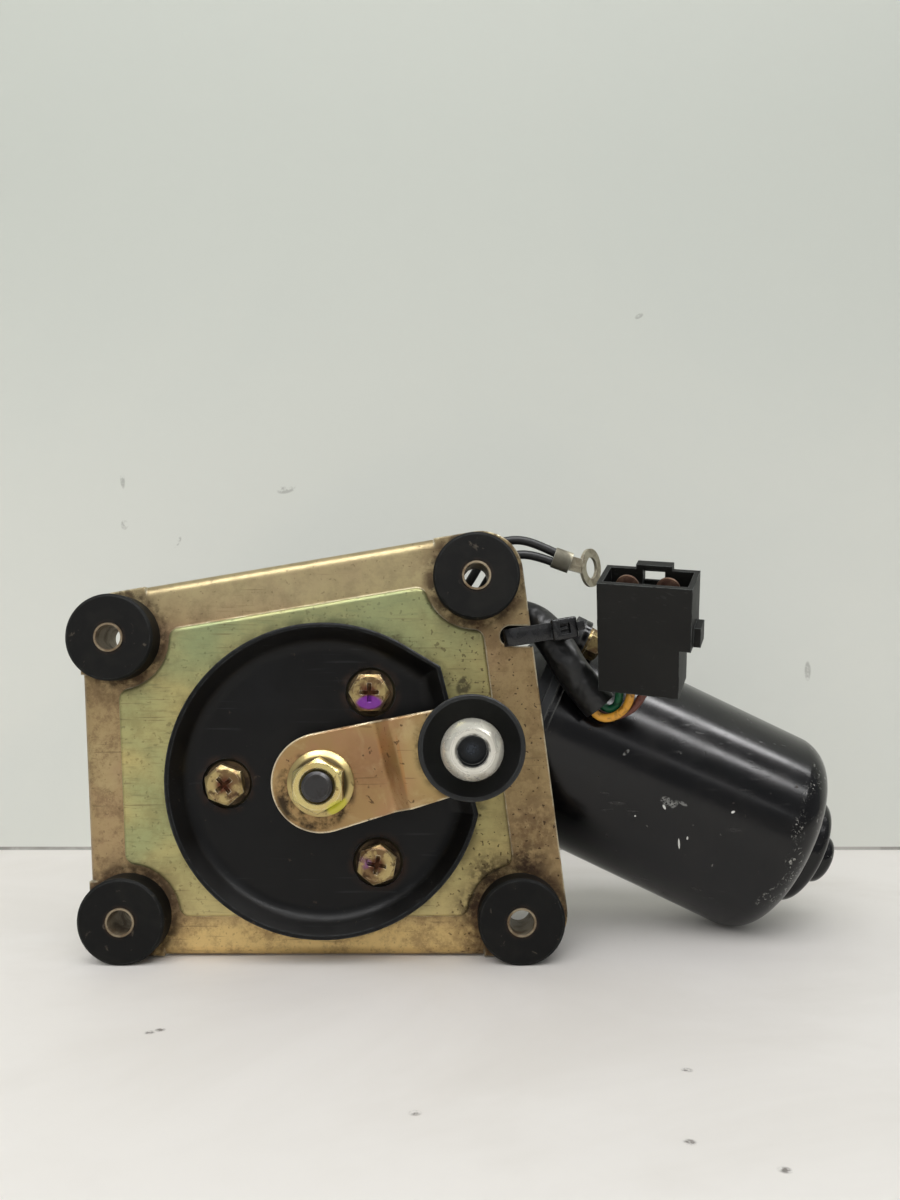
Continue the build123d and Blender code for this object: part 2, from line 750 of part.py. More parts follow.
def worm_wheel():
    """Moulded wheel: helical teeth, dished web with ribs, and a hub pressed on the shaft."""
    twist = degrees(wheel_width * tan(radians(worm_lead_angle)) / wheel_pitch_radius)
    teeth = Solid.extrude_linear_with_rotation(wheel_tooth_outline().faces()[0], (0, 0, 0),
                                               (0, 0, wheel_width), twist)
    wheel = Pos(0, 0, wheel_back) * Rot(0, 0, -twist / 2) * teeth
    rim_inner = wheel_root_radius - wheel_rim_depth
    pocket_depth = (wheel_width - wheel_web) / 2
    pocket = ring(rim_inner, wheel_hub_radius, 0, pocket_depth + 1)
    for index in range(wheel_rib_count):
        rib = block((0, rim_inner + 1), (-wheel_rib_width / 2, wheel_rib_width / 2), (-1, pocket_depth + 2))
        pocket -= Rot(0, 0, index * 360 / wheel_rib_count) * rib
    wheel -= Pos(0, 0, wheel_front - pocket_depth) * pocket
    wheel += rod(wheel_hub_radius, wheel_back - wheel_hub_behind, wheel_back)
    return wheel - rod(shaft_radius + seat_gap, wheel_back - 2 * wheel_hub_behind, wheel_front + 1)


def park_disc():
    """Brass disc on the wheel's back, notched where the blades park."""
    disc = ring(park_disc_outer, park_disc_inner, wheel_back - park_disc_thickness, wheel_back)
    notch = Pos(park_disc_outer, 0, wheel_back) * Box(2 * park_notch_depth, park_notch_width,
                                                      4 * park_disc_thickness)
    return disc - Rot(0, 0, -90) * notch


def contact_plate():
    """Insulating plate on the inside of the cover, which carries the contacts."""
    width, height = contact_plate_size
    back = -housing_depth - gasket_thickness + seat_gap
    base = extrude(RectangleRounded(width, height, 3.0), contact_plate_thickness)
    return Pos(contact_plate_offset, 0, back) * base


def park_contacts():
    """Three sprung fingers that ride just clear of the park disc."""
    plate_front = -housing_depth - gasket_thickness + seat_gap + contact_plate_thickness
    disc_back = wheel_back - park_disc_thickness - free_gap
    width = contact_finger_width / 2
    start = contact_plate_offset - contact_plate_size[0] / 4
    tip = start + contact_plate_size[0] * 0.4
    fingers = []
    for track in contact_tracks:
        foot = (start - contact_foot_length, plate_front), (start, plate_front)
        path = Polyline(*foot, (tip - 2, disc_back - 0.6), (tip, disc_back - contact_finger_thickness),
                        (tip + 2, disc_back - 0.9))
        strip = offset(path, contact_finger_thickness, side=Side.LEFT)
        finger = extrude(Plane.XZ * make_face(strip), width, both=True)
        fingers.append(Pos(0, track, 0) * finger)
    return Compound(fingers)


# ---- output bearings --------------------------------------------------------------------------
def output_bush(front):
    """Sintered bush in the housing's tower."""
    return ring(bush_radius - seat_gap, shaft_radius + running_gap, front - bush_length, front)


def thrust_washer():
    """Washer on the tower's end, under the shaft clip."""
    return ring(thrust_washer_radius, shaft_radius + running_gap, tower_front,
                tower_front + thrust_washer_thickness)


def shaft_clip():
    """Open clip in the shaft's groove, which holds the shaft in its bushes."""
    low = clip_low
    clip = ring(clip_radius, clip_groove_radius + seat_gap, low + seat_gap, low + clip_thickness - seat_gap)
    return clip - block((0, clip_radius + 1), (-clip_groove_radius * 0.8, clip_groove_radius * 0.8),
                        (low - 1, low + 2))


# ---- gear housing -----------------------------------------------------------------------------
def cover_lugs():
    """Centres of the lugs that take the cover's screws."""
    places = [polar(cover_lug_circle, angle) for angle in cover_lug_angles]
    for side in (-cover_lug_side, cover_lug_side):
        place = axis_along * side + axis_across * cover_lug_reach
        places.append((place.X, place.Y))
    return places


def cover_outline():
    """The cover's outline, drawn tight round the gear chamber and the lugs."""
    edges = Circle(housing_radius).edges()
    for place in cover_lugs():
        edges += (Pos(*place) * Circle(cover_lug_radius)).edges()
    return make_hull(edges)


def ear_places():
    """Centres of the two yoke screws, in the motor frame."""
    return [polar(ear_circle_radius, ear_angle), polar(ear_circle_radius, ear_angle + 180)]


def ear_outline():
    """The joint face between housing and yoke: a disc with two ears."""
    face = Circle(flange_radius)
    for place in ear_places():
        face += make_hull((Pos(*place) * Circle(ear_radius)).edges() + Circle(flange_radius * 0.55).edges())
    return face


def bell():
    """The housing's flared motor end."""
    root = bell_start - bell_root
    outer = turned((0, root), (tunnel_radius, root), (tunnel_radius, bell_start),
                   (bell_radius, bell_full), (bell_radius, flange_front), (0, flange_front))
    flange = Pos(0, 0, flange_front - flange_thickness) * extrude(ear_outline(), flange_thickness)
    return outer + flange


def bell_hollow():
    """The space inside the flared end, for the brush holder."""
    inner = bell_radius - bell_wall
    return turned((0, bell_start + 3), (tunnel_bore_radius + 2, bell_start + 3), (inner, bell_full + 1),
                  (inner, flange_front + 1), (0, flange_front + 1))


def cable_frame():
    """Frame of the cable exit: x along the motor, z the way the lead leaves."""
    return Plane(origin=cable_exit, x_dir=axis_along, z_dir=cable_exit_direction)


def cable_boss():
    """Oval boss on the worm tunnel, where the lead comes out."""
    shape = SlotOverall(cable_boss_length + 2 * cable_boss_wall, cable_boss_width + 2 * cable_boss_wall)
    foot = Pos(0, 0, -cable_boss_depth - grommet_lip)
    return cable_frame().location * foot * extrude(shape, cable_boss_depth)


def gear_housing():
    """Die-cast housing: bearing tower, posts, gear chamber, worm tunnel and motor bell."""
    floor_back = chamber_front - housing_floor
    body = rod(tower_radius, chamber_front - 1, tower_front)
    for index in range(screw_count):
        place = screw_place(index)
        angle = degrees(atan2(place[1], place[0]))
        body += rod(post_radius, chamber_front - 1, panel_back, place)
        web = block((0, screw_circle_radius), (-rib_thickness / 2, rib_thickness / 2),
                    (chamber_front - 1, tower_front - rib_below_tower))
        body += Rot(0, 0, angle) * web
    body += rod(housing_radius, -housing_depth, chamber_front + housing_floor)
    body += Pos(0, 0, -housing_depth) * extrude(cover_outline(), cover_flange_depth)
    body += on_motor(rod(tunnel_radius, tunnel_end, bell_start) + bell())
    body += on_motor(rod(thrust_boss_radius, tunnel_end - thrust_boss_length, tunnel_end + 1))
    body += cable_boss()
    body -= rod(chamber_radius, -housing_depth - 1, chamber_front)
    body -= rod(bush_radius, chamber_front - 1, tower_front + 1)
    body -= on_motor(rod(tunnel_bore_radius, tunnel_bore_end, bell_start + bell_opening_depth))
    body -= on_motor(bell_hollow())
    body -= on_motor(rod(thrust_screw_radius + seat_gap, tunnel_end - thrust_boss_length - 1,
                         tunnel_bore_end + 1))
    for index in range(screw_count):
        body -= rod(screw_radius + seat_gap, panel_back - screw_length, panel_back + 1, screw_place(index))
    for place in cover_lugs():
        body -= rod(cover_screw_radius + seat_gap, -housing_depth - 1,
                    -housing_depth + cover_screw_length - 1, place)
    for place in ear_places():
        body -= on_motor(rod(yoke_screw_radius + seat_gap, flange_front - yoke_screw_length,
                             flange_front + 1, place))
    shape = SlotOverall(cable_boss_length, cable_boss_width)
    pocket_floor = Pos(0, 0, cable_boss_floor - cable_boss_depth - grommet_lip)
    body -= cable_frame().location * pocket_floor * extrude(shape, 2 * cable_boss_depth)
    return body


def gear_cover():
    """Pressed cover with a raised dome."""
    front = -housing_depth - gasket_thickness
    sheet = Pos(0, 0, cover_back) * extrude(cover_outline(), cover_thickness)
    dome = rod(cover_dome_radius, cover_back - cover_dome_depth, cover_back)
    dome = chamfer(dome.faces().sort_by(Axis.Z)[0].edges(), cover_dome_depth * 0.6)
    hollow = rod(cover_dome_radius - 2 * cover_thickness, front - cover_dome_depth, front + 1)
    cover = sheet + dome - hollow
    for place in cover_lugs():
        cover -= rod(cover_screw_radius + running_gap, cover_back - 1, front + 1, place)
    return cover


def cover_gasket():
    """Flat gasket that follows the housing's rim."""
    gasket = Pos(0, 0, -housing_depth - gasket_thickness) * extrude(cover_outline(), gasket_thickness)
    gasket -= rod(chamber_radius, -housing_depth - 2, -housing_depth + 1)
    for place in cover_lugs():
        gasket -= rod(cover_screw_radius + running_gap, -housing_depth - 2, -housing_depth + 1, place)
    return gasket


def cover_screw():
    """Pan-head screw with a cross recess, standing head up at height zero."""
    head = turned((0, 0), (cover_screw_head_radius, 0),
                  (cover_screw_head_radius, cover_screw_head_height * 0.5),
                  (cover_screw_head_radius * 0.65, cover_screw_head_height), (0, cover_screw_head_height))
    slot_scale = 0.8
    cross = Pos(0, 0, cover_screw_head_height) * scale(cross_recess(0), slot_scale)
    return head + rod(cover_screw_radius, -cover_screw_length, 0) - cross


def cover_screws():
    """One screw in each of the cover's lugs."""
    pieces = []
    for place in cover_lugs():
        pieces.append(Pos(place[0], place[1], cover_back) * Rot(180, 0, 0) * cover_screw())
    return Compound(pieces)


# ---- motor ------------------------------------------------------------------------------------
def motor_yoke():
    """Deep-drawn can with a flanged mouth, a stepped end and a bearing pocket."""
    start = yoke_start
    body = turned((0, start), (yoke_radius, start), (yoke_radius, yoke_end), (step_radius, yoke_end),
                  (step_radius, step_end), (cap_radius, step_end), (cap_radius, cap_end), (0, cap_end))

    def circles(height, radius):
        return body.edges().filter_by(GeomType.CIRCLE).filter_by(
            lambda edge: abs(edge.center().Z - height) < seat_gap and abs(edge.radius - radius) < seat_gap)

    body = fillet(circles(yoke_end, yoke_radius), yoke_corner_radius)
    body = fillet(circles(step_end, step_radius), step_round)
    body = fillet(circles(cap_end, cap_radius), cap_round)
    wall = yoke_wall
    inner = turned((0, start - 1), (yoke_radius - wall, start - 1),
                   (yoke_radius - wall, yoke_end - yoke_corner_radius),
                   (yoke_radius - yoke_corner_radius, yoke_end - wall), (step_radius - wall, yoke_end - wall),
                   (step_radius - wall, step_end - wall - step_round), (cap_radius - wall, step_end - wall),
                   (cap_radius - wall, cap_end - wall), (0, cap_end - wall))
    flange = Pos(0, 0, start) * extrude(ear_outline(), yoke_flange_thickness)
    body = body + flange - inner
    for place in ear_places():
        body -= rod(yoke_screw_radius + running_gap, start - 1, start + 2 * yoke_flange_thickness, place)
    return on_motor(body)


def magnets():
    """Two ferrite arcs against the inside of the can."""
    outer = yoke_radius - yoke_wall - seat_gap
    tube = ring(outer, outer - magnet_thickness, magnet_start, magnet_end)
    reach = 2 * yoke_radius
    half = magnet_span / 2
    wedge = make_face(Polyline((0, 0), polar(reach, -half), (reach * 2, 0), polar(reach, half), close=True))
    piece = tube & Pos(0, 0, magnet_start) * extrude(wedge, magnet_end - magnet_start)
    return on_motor(Compound([piece, Rot(0, 0, 180) * piece]))


def worm_thread():
    """One right-hand thread, swept along a helix, its middle facing the wheel."""
    overlap = 0.25
    half_top = worm_pitch / 4 - (tooth_addendum) * tan(radians(pressure_angle)) - tooth_backlash / 4
    depth_below = worm_pitch_radius - worm_root_radius + overlap
    half_root = worm_pitch / 4 + depth_below * tan(radians(pressure_angle)) - tooth_backlash / 4
    path = Helix(worm_pitch, 2 * worm_half, worm_pitch_radius)
    frame = Plane(path @ 0, x_dir=(1, 0, 0), z_dir=path % 0)
    profile = make_face(Polyline((-depth_below, -half_root), (-depth_below, half_root),
                                 (tooth_addendum, half_top), (tooth_addendum, -half_top), close=True))
    thread = sweep(frame * profile, path=path, is_frenet=True)
    return Pos(0, 0, -worm_half) * Rot(0, 0, 180) * thread


def armature_shaft():
    """Motor shaft, necked down under the worm thread that is rolled on it."""
    neck = worm_half + worm_neck_past_thread
    full, edge = motor_shaft_radius, motor_shaft_chamfer
    shaft = turned((0, worm_end_shaft), (full - edge, worm_end_shaft), (full, worm_end_shaft + edge),
                   (full, -neck), (worm_root_radius, -neck), (worm_root_radius, neck), (full, neck),
                   (full, tail_shaft_end - edge), (full - edge, tail_shaft_end), (0, tail_shaft_end))
    return on_motor(shaft + worm_thread())


def core_slot():
    """One winding slot of the armature core."""
    low, high = core_start - 1, core_end + 1
    slot = rod(core_slot_radius, low, high, (core_slot_circle, 0))
    half = core_slot_width / 2
    return slot + block((core_slot_circle, core_radius + 1), (-half, half), (low, high))


def armature_core():
    """Laminated core with a ring of winding slots."""
    core = ring(core_radius, motor_shaft_radius + seat_gap, core_start, core_end)
    for index in range(core_slots):
        core -= Rot(0, 0, index * 360 / core_slots) * core_slot()
    return on_motor(core)


def armature_windings():
    """Copper coils: a bundle in each slot and a wound head at each end of the core."""
    head_outer = core_slot_circle + core_slot_radius
    shape = None
    for low, high in ((core_start - winding_reach, core_start - seat_gap),
                      (core_end + seat_gap, core_end + winding_reach - 1)):
        round_off = winding_reach / 3
        shoulder = head_outer - round_off
        head = turned((winding_inner_radius, low), (shoulder, low), (head_outer, low + round_off),
                      (head_outer, high - round_off), (shoulder, high), (winding_inner_radius, high))
        shape = head if shape is None else shape + head
    for index in range(core_slots):
        bar = rod(core_slot_radius - seat_gap * 5, core_start - 1, core_end + 1, (core_slot_circle, 0))
        shape += Rot(0, 0, index * 360 / core_slots) * bar
    return on_motor(shape)


def commutator():
    """Copper commutator with its bars parted by slits."""
    drum = ring(commutator_radius, motor_shaft_radius + seat_gap, commutator_start, commutator_end)
    for index in range(commutator_bars):
        slit = block((commutator_radius - commutator_slit_depth, commutator_radius + 1),
                     (-commutator_slit / 2, commutator_slit / 2),
                     (commutator_start - 1, commutator_end + 1))
        drum -= Rot(0, 0, index * 360 / commutator_bars) * slit
    return on_motor(drum)


def motor_bush(start):
    """Sintered bush that carries the motor shaft in the worm tunnel."""
    return on_motor(ring(tunnel_bore_radius - seat_gap, motor_shaft_radius + running_gap, start,
                         start + motor_bush_length))


def bush_retainer():
    """Spring washer that keeps the middle bush in its seat."""
    low = middle_bush_start + motor_bush_length
    return on_motor(ring(tunnel_bore_radius - seat_gap, motor_shaft_radius + retainer_shaft_gap, low,
                         low + retainer_thickness))


def tail_bush():
    """Sintered bush in the can's end pocket."""
    end = cap_end - yoke_wall - tail_bush_setback
    return on_motor(ring(cap_radius - yoke_wall - seat_gap, motor_shaft_radius + running_gap,
                         end - tail_bush_length, end))


def thrust_ball():
    """Ball between the shaft's end and the can, which takes the worm's thrust."""
    return on_motor(Pos(0, 0, tail_shaft_end + seat_gap + thrust_ball_radius) * Sphere(thrust_ball_radius))


def thrust_screw():
    """Slotted screw that sets the shaft's end play."""
    tip = worm_end_shaft - seat_gap * 5
    head = tip - thrust_screw_length
    screw = rod(thrust_screw_radius, head, tip)
    slot = block((-thrust_screw_radius, thrust_screw_radius), (-0.5, 0.5), (head - 1, head + 1.6))
    return on_motor(screw - slot)


def thrust_lock_nut():
    """Nut that locks the thrust screw."""
    high = tunnel_end - thrust_boss_length
    nut = hexagon(lock_nut_flats, high - lock_nut_height, high)
    return on_motor(nut - rod(thrust_screw_radius + seat_gap, high - 2 * lock_nut_height, high + 1))


def brush_place(angle):
    """Frame of one brush: x runs outwards from the commutator."""
    middle = brush_plate_start + brush_plate_thickness + brush_box_wall + brush_depth / 2
    return Rot(0, 0, angle) * Pos(commutator_radius + free_gap, 0, middle)


def brush_holder():
    """Moulded plate in the housing's mouth, with a box for each brush."""
    outer = bell_radius - bell_wall - seat_gap
    inner = commutator_radius + 2.0
    low = brush_plate_start
    plate = ring(outer, inner, low, low + brush_plate_thickness)
    half_width = brush_width / 2 + seat_gap
    half_depth = brush_depth / 2 + seat_gap
    wall = brush_box_wall
    for angle in brush_angles:
        box = block((2, brush_length), (-half_width - wall, half_width + wall),
                    (-half_depth - wall, half_depth + wall))
        box -= block((0, brush_length + 1), (-half_width, half_width), (-half_depth, half_depth))
        plate += brush_place(angle) * box
    return on_motor(plate)


def brushes():
    """Carbon brushes, sliding in their boxes."""
    half_width, half_depth = brush_width / 2, brush_depth / 2
    pieces = []
    for angle in brush_angles:
        brush = block((0, brush_length), (-half_width, half_width), (-half_depth, half_depth))
        pieces.append(brush_place(angle) * brush)
    return on_motor(Compound(pieces))


def brush_springs():
    """Leaf springs that push the brushes in, hooked over the plate."""
    pieces = []
    back = brush_length + seat_gap
    foot = brush_depth / 2 + brush_box_wall
    for angle in brush_angles:
        leaf = block((back, back + spring_thickness), (-brush_width / 2, brush_width / 2),
                     (-foot, brush_depth / 4))
        pieces.append(brush_place(angle) * leaf)
    return on_motor(Compound(pieces))


def yoke_screws():
    """Two hexagon screws that hold the can to the housing."""
    under = flange_front + yoke_flange_thickness + yoke_washer_thickness
    screw = hexagon(yoke_screw_flats, under, under + yoke_screw_head)
    crown = turned((0, under), (yoke_screw_flats, under),
                   (yoke_screw_flats / 2 + 0.7, under + yoke_screw_head - 0.8),
                   (yoke_screw_flats / 2 - 0.4, under + yoke_screw_head), (0, under + yoke_screw_head))
    screw = (screw & crown) + rod(yoke_screw_radius, under - yoke_screw_length, under)
    return on_motor(Compound([Pos(*place) * screw for place in ear_places()]))


def yoke_washers():
    """Washers under the two yoke screws."""
    low = flange_front + yoke_flange_thickness
    washer = ring(yoke_washer_radius, yoke_screw_radius + seat_gap, low, low + yoke_washer_thickness)
    return on_motor(Compound([Pos(*place) * washer for place in ear_places()]))


# ---- lead -------------------------------------------------------------------------------------
def cable_grommet():
    """Rubber plug in the cable boss, with a lip outside it."""
    lip = extrude(SlotOverall(cable_boss_length + 3, cable_boss_width + 3), grommet_lip)
    lip = Pos(0, 0, -grommet_lip) * lip
    neck = extrude(SlotOverall(cable_boss_length - 2 * seat_gap, cable_boss_width - 2 * seat_gap),
                   cable_neck_length)
    return cable_frame().location * (lip + Pos(0, 0, -grommet_lip - cable_neck_length) * neck)


def connector_frame():
    """Frame of the connector: x across its face, y into its depth, z up, from its front top left corner."""
    turn = Rot(0, connector_yaw, 0) * Rot(connector_tilt, 0, 0) * Rot(0, 0, -connector_roll)
    return Location(connector_corner) * turn


def connector_place(solid):
    """A piece modelled at the connector's corner (x right, y up, z forward), put in place."""
    return connector_frame() * solid


def connector_housing():
    """Moulded shell with a stepped side, a latch bridge and a hollow mouth."""
    width, height, depth, wall = connector_width, connector_height, connector_depth, connector_wall
    upper = block((0, width), (-connector_step_below, 0), (-depth, 0))
    lower = block((0, width - connector_step), (-height, -connector_step_below + 1), (-depth, 0))
    body = upper + lower
    body -= block((wall, width - wall), (-connector_cavity, 1), (-depth + wall, -wall))
    left, right = latch_middle - latch_width / 2, latch_middle + latch_width / 2
    back = -depth - latch_depth
    body += block((left, right), (-connector_cavity / 2, latch_height), (back, -depth + wall))
    left, right = latch_middle - window_width / 2, latch_middle + window_width / 2
    body -= block((left, right), (latch_wall - connector_cavity / 2, latch_height - latch_top_wall),
                  (back + latch_wall, -depth + wall + 1))
    body -= block((left, right), (-wall - window_height, -wall), (back - 1, -depth + wall + 1))
    tab_top = lock_tab_above_step - connector_step_below
    body += block((width - 0.5, width + lock_tab_reach), (tab_top - lock_tab_height, tab_top),
                  (-depth * 0.75, -depth * 0.3))
    body += block((-side_tab_reach, 0.5), (tab_top - side_tab_height, tab_top), (-depth * 0.7, -depth * 0.3))
    return connector_place(body)


def connector_blades():
    """Two round-topped blades standing in the mouth."""
    half = blade_width / 2
    floor = -connector_cavity
    pieces = []
    for middle in (connector_width * 0.3, connector_width * 0.73):
        blade = block((middle - half, middle + half), (floor, floor + blade_proud - half),
                      (-blade_thickness / 2, blade_thickness / 2))
        tip = Pos(middle, floor + blade_proud - half, 0) * Cylinder(half, blade_thickness)
        pieces.append(Pos(0, 0, -connector_depth * 0.45) * (blade + tip))
    return connector_place(Compound(pieces))


def cable_tie():
    """Strap through the plate's slot and round the sheath, with its head in front."""
    half = tie_strap_thickness / 2
    width, height = tie_loop_size
    path = Pos(width / 2, height / 2 - tie_loop_front) * RectangleRounded(width, height, tie_loop_round)
    loop = offset(path, half) - offset(path, -half)
    strap = Pos(0, -tie_strap_width / 2, 0) * Rot(-90, 0, 0) * extrude(loop, tie_strap_width)
    head_long, head_wide, head_high = tie_head
    head_at = Pos(tie_head_along, 0, tie_loop_front + head_high / 2 - tie_strap_thickness)
    head = chamfer(Box(*tie_head).edges(), 0.5) - Box(head_long * 0.4, head_wide * 0.6, 2 * head_high)
    tie = strap + head_at * head
    return Pos(tie_slot_end + 0.4, tie_slot_height - 0.4, 0) * Rot(0, 0, tie_rise) * tie


def earth_terminal():
    """Crimped ring terminal: barrel, neck and a ring bent out of line."""
    start, end = Vector(*barrel_start), Vector(*barrel_end)
    run = (end - start).normalized()
    frame = Plane(start, x_dir=Vector(0, 0, 1), z_dir=run)
    barrel = frame.location * extrude(Ellipse(2.0, 3.1), (end - start).length)
    ring_frame = Plane(terminal_centre, x_dir=Vector(0, 1, 0),
                       z_dir=Vector(sin(radians(terminal_turn)), 0, cos(radians(terminal_turn))))
    half = terminal_thickness / 2
    flat = ring_frame.location * (rod(terminal_ring_radius, -half, half) - rod(terminal_hole_radius, -1, 1))
    towards_barrel = Vector(-cos(radians(terminal_turn)), 0, sin(radians(terminal_turn)))
    edge = Vector(*terminal_centre) + towards_barrel * (terminal_ring_radius - 1.0)
    neck_run = edge - end
    neck_frame = Plane(end - neck_run * 0.1, x_dir=Vector(0, 0, 1), z_dir=neck_run)
    neck = neck_frame.location * extrude(Rectangle(terminal_thickness * 1.3, terminal_neck_width),
                                          neck_run.length * 1.2)
    neck -= ring_frame.location * rod(terminal_hole_radius, -4, 4)
    return barrel + neck + flat


# ---- the whole part ---------------------------------------------------------------------------
def build_pieces():
    """Every node by name, in the bench frame."""
    pieces = {"bracket_plate": bracket_plate()}
    for corner, hole in plate_holes.items():
        pieces[f"grommet_{corner}"] = grommet(hole)
        pieces[f"sleeve_{corner}"] = sleeve(hole)
    pieces["shaft_seal"] = shaft_seal()
    pieces["flat_washers"] = on_screws(flat_washer)
    pieces["spring_washers"] = on_screws(spring_washer)
    pieces["bracket_screws"] = on_screws(bracket_screw)
    pieces["crank_arm"] = crank_arm()
    pieces["crank_nut"] = crank_nut()
    pieces["output_shaft"] = output_shaft()
    pieces["ball_stud"] = ball_stud()
    pieces["ball_boot"] = ball_boot()
    pieces["worm_wheel"] = worm_wheel()
    pieces["park_disc"] = park_disc()
    pieces["contact_plate"] = contact_plate()
    pieces["park_contacts"] = park_contacts()
    pieces["front_bush"] = output_bush(tower_front - 0.5)
    pieces["rear_bush"] = output_bush(chamber_front + bush_length + 0.2)
    pieces["thrust_washer"] = thrust_washer()
    pieces["shaft_clip"] = shaft_clip()
    pieces["gear_housing"] = gear_housing()
    pieces["gear_cover"] = gear_cover()
    pieces["cover_gasket"] = cover_gasket()
    pieces["cover_screws"] = cover_screws()
    pieces["motor_yoke"] = motor_yoke()
    pieces["magnets"] = magnets()
    pieces["armature_shaft"] = armature_shaft()
    pieces["armature_core"] = armature_core()
    pieces["armature_windings"] = armature_windings()
    pieces["commutator"] = commutator()
    pieces["worm_end_bush"] = motor_bush(tunnel_bore_end + 0.5)
    pieces["middle_bush"] = motor_bush(middle_bush_start)
    pieces["bush_retainer"] = bush_retainer()
    pieces["tail_bush"] = tail_bush()
    pieces["thrust_ball"] = thrust_ball()
    pieces["thrust_screw"] = thrust_screw()
    pieces["thrust_lock_nut"] = thrust_lock_nut()
    pieces["brush_holder"] = brush_holder()
    pieces["brushes"] = brushes()
    pieces["brush_springs"] = brush_springs()
    pieces["yoke_screws"] = yoke_screws()
    pieces["yoke_washers"] = yoke_washers()
    pieces["cable_grommet"] = cable_grommet()
    pieces["harness_sheath"] = cord("harness_sheath", sheath_route, sheath_radius)
    pieces["earth_wire_upper"] = cord("earth_wire_upper", earth_upper_route, earth_wire_radius)
    pieces["earth_wire_lower"] = cord("earth_wire_lower", earth_lower_route, earth_wire_radius)
    pieces["wire_yellow"] = cord("wire_yellow", wire_yellow_route, wire_radius)
    pieces["wire_green"] = cord("wire_green", wire_green_route, wire_radius)
    pieces["wire_brown"] = cord("wire_brown", wire_brown_route, wire_radius)
    pieces["connector_housing"] = connector_housing()
    pieces["connector_blades"] = connector_blades()
    pieces["earth_terminal"] = earth_terminal()
    pieces["cable_tie"] = cable_tie()
    return pieces


lead_nodes = ("harness_sheath", "wire_yellow", "wire_green", "wire_brown", "earth_wire_upper",
              "earth_wire_lower", "connector_housing", "connector_blades", "earth_terminal")


def stand_up(pieces):
    """Stand the motor on its lower grommets, with the origin under the middle of its box."""
    upright = {name: Rot(90, 0, 0) * piece for name, piece in pieces.items()}
    boxes = [piece.bounding_box() for name, piece in upright.items() if name not in lead_nodes]
    left, right = min(box.min.X for box in boxes), max(box.max.X for box in boxes)
    front, back = min(box.min.Y for box in boxes), max(box.max.Y for box in boxes)
    shift = Pos(-(left + right) / 2, -(front + back) / 2, -min(box.min.Z for box in boxes))
    print("shaft axis at", shift.position)
    return {name: shift * piece for name, piece in upright.items()}


def main():
    """Write one STEP file for each piece."""
    os.makedirs("parts", exist_ok=True)
    for name, piece in stand_up(build_pieces()).items():
        piece.label = name
        export_step(piece, f"parts/{name}.step")


main()
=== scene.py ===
"""Wiper motor: finishes, lead, small loose pieces and studio stage round the packed model."""
import json
import math

import bpy
from mathutils import Matrix, Vector


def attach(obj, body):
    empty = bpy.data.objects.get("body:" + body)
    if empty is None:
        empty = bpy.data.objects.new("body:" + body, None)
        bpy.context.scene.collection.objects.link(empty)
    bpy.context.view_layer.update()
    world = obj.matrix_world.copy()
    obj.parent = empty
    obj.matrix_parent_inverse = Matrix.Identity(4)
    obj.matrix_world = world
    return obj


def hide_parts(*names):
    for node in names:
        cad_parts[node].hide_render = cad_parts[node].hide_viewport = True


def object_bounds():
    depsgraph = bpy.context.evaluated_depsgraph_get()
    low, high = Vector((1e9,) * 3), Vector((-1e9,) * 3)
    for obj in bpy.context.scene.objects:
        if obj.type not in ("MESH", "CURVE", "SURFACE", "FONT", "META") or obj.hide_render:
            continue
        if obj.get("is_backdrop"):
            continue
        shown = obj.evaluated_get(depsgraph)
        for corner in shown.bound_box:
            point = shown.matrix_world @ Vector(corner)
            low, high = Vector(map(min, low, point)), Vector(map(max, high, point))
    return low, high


bl_info = {
    "name": "Wiper Motor Dressing",
    "version": (1, 0, 0),
    "blender": (4, 5, 0),
    "location": "View3D > Sidebar > Wiper Motor",
    "description": "Gives the packed wiper motor its finishes, lead and stage",
    "category": "Object",
}

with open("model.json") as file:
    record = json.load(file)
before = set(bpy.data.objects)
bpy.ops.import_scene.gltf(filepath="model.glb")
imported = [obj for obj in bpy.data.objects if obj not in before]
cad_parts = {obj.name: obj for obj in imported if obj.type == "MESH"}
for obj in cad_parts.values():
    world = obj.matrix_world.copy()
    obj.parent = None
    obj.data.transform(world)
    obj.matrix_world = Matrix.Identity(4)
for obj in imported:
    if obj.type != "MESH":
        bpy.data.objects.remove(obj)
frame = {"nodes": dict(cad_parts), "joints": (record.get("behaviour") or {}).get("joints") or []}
CAD_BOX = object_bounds()
NODES = frame["nodes"]
SHAFT = Vector(next(joint["pos_m"] for joint in frame["joints"] if joint["name"] == "crank_spin"))

# Places are (right, up) or (right, up, out) in millimetres from the output shaft at the bracket's face.
# Turns are in degrees. Sizes of the small new pieces are in metres.
GROMMETS = [(-59.0, 39.4), (42.0, 56.4), (-55.8, -38.8), (54.4, -38.8)]
SCREWS = [(12.6, 24.2), (-27.3, -1.2), (14.7, -23.0)]
SHAFT_END = [(0.0, 0.0)]
BALL = [(40.3, 10.35)]
CRIMP = [(66.4, 62.4)]
PANEL_FOOT, PANEL_FACE = 0.5, 1.7
NUT_BASE = 13.0
MOTOR_AXIS = (16.57, 34.75, -39.0)
MOTOR_TILT = 25.5
CAN_RIM = (131.5, 5.0, 26.0)  # how far along the motor's axis, half the band's width, inner radius
CONNECTOR_CORNER = (72.9, 53.1, 21.0)
CONNECTOR_TURNS = (("Y", -24.0), ("X", 28.0), ("Z", -6.5))
TIE_SLOT = (52.1, 39.6)
TIE_TILT = -9.0
SOFT_EDGE = 0.00012
SMOOTH_ANGLE = math.radians(35)
CAMERA_PLACE = (34.7, 30.4, 282.0)
FLOOR_UP = -50.8
WALL_OUT = -169.0

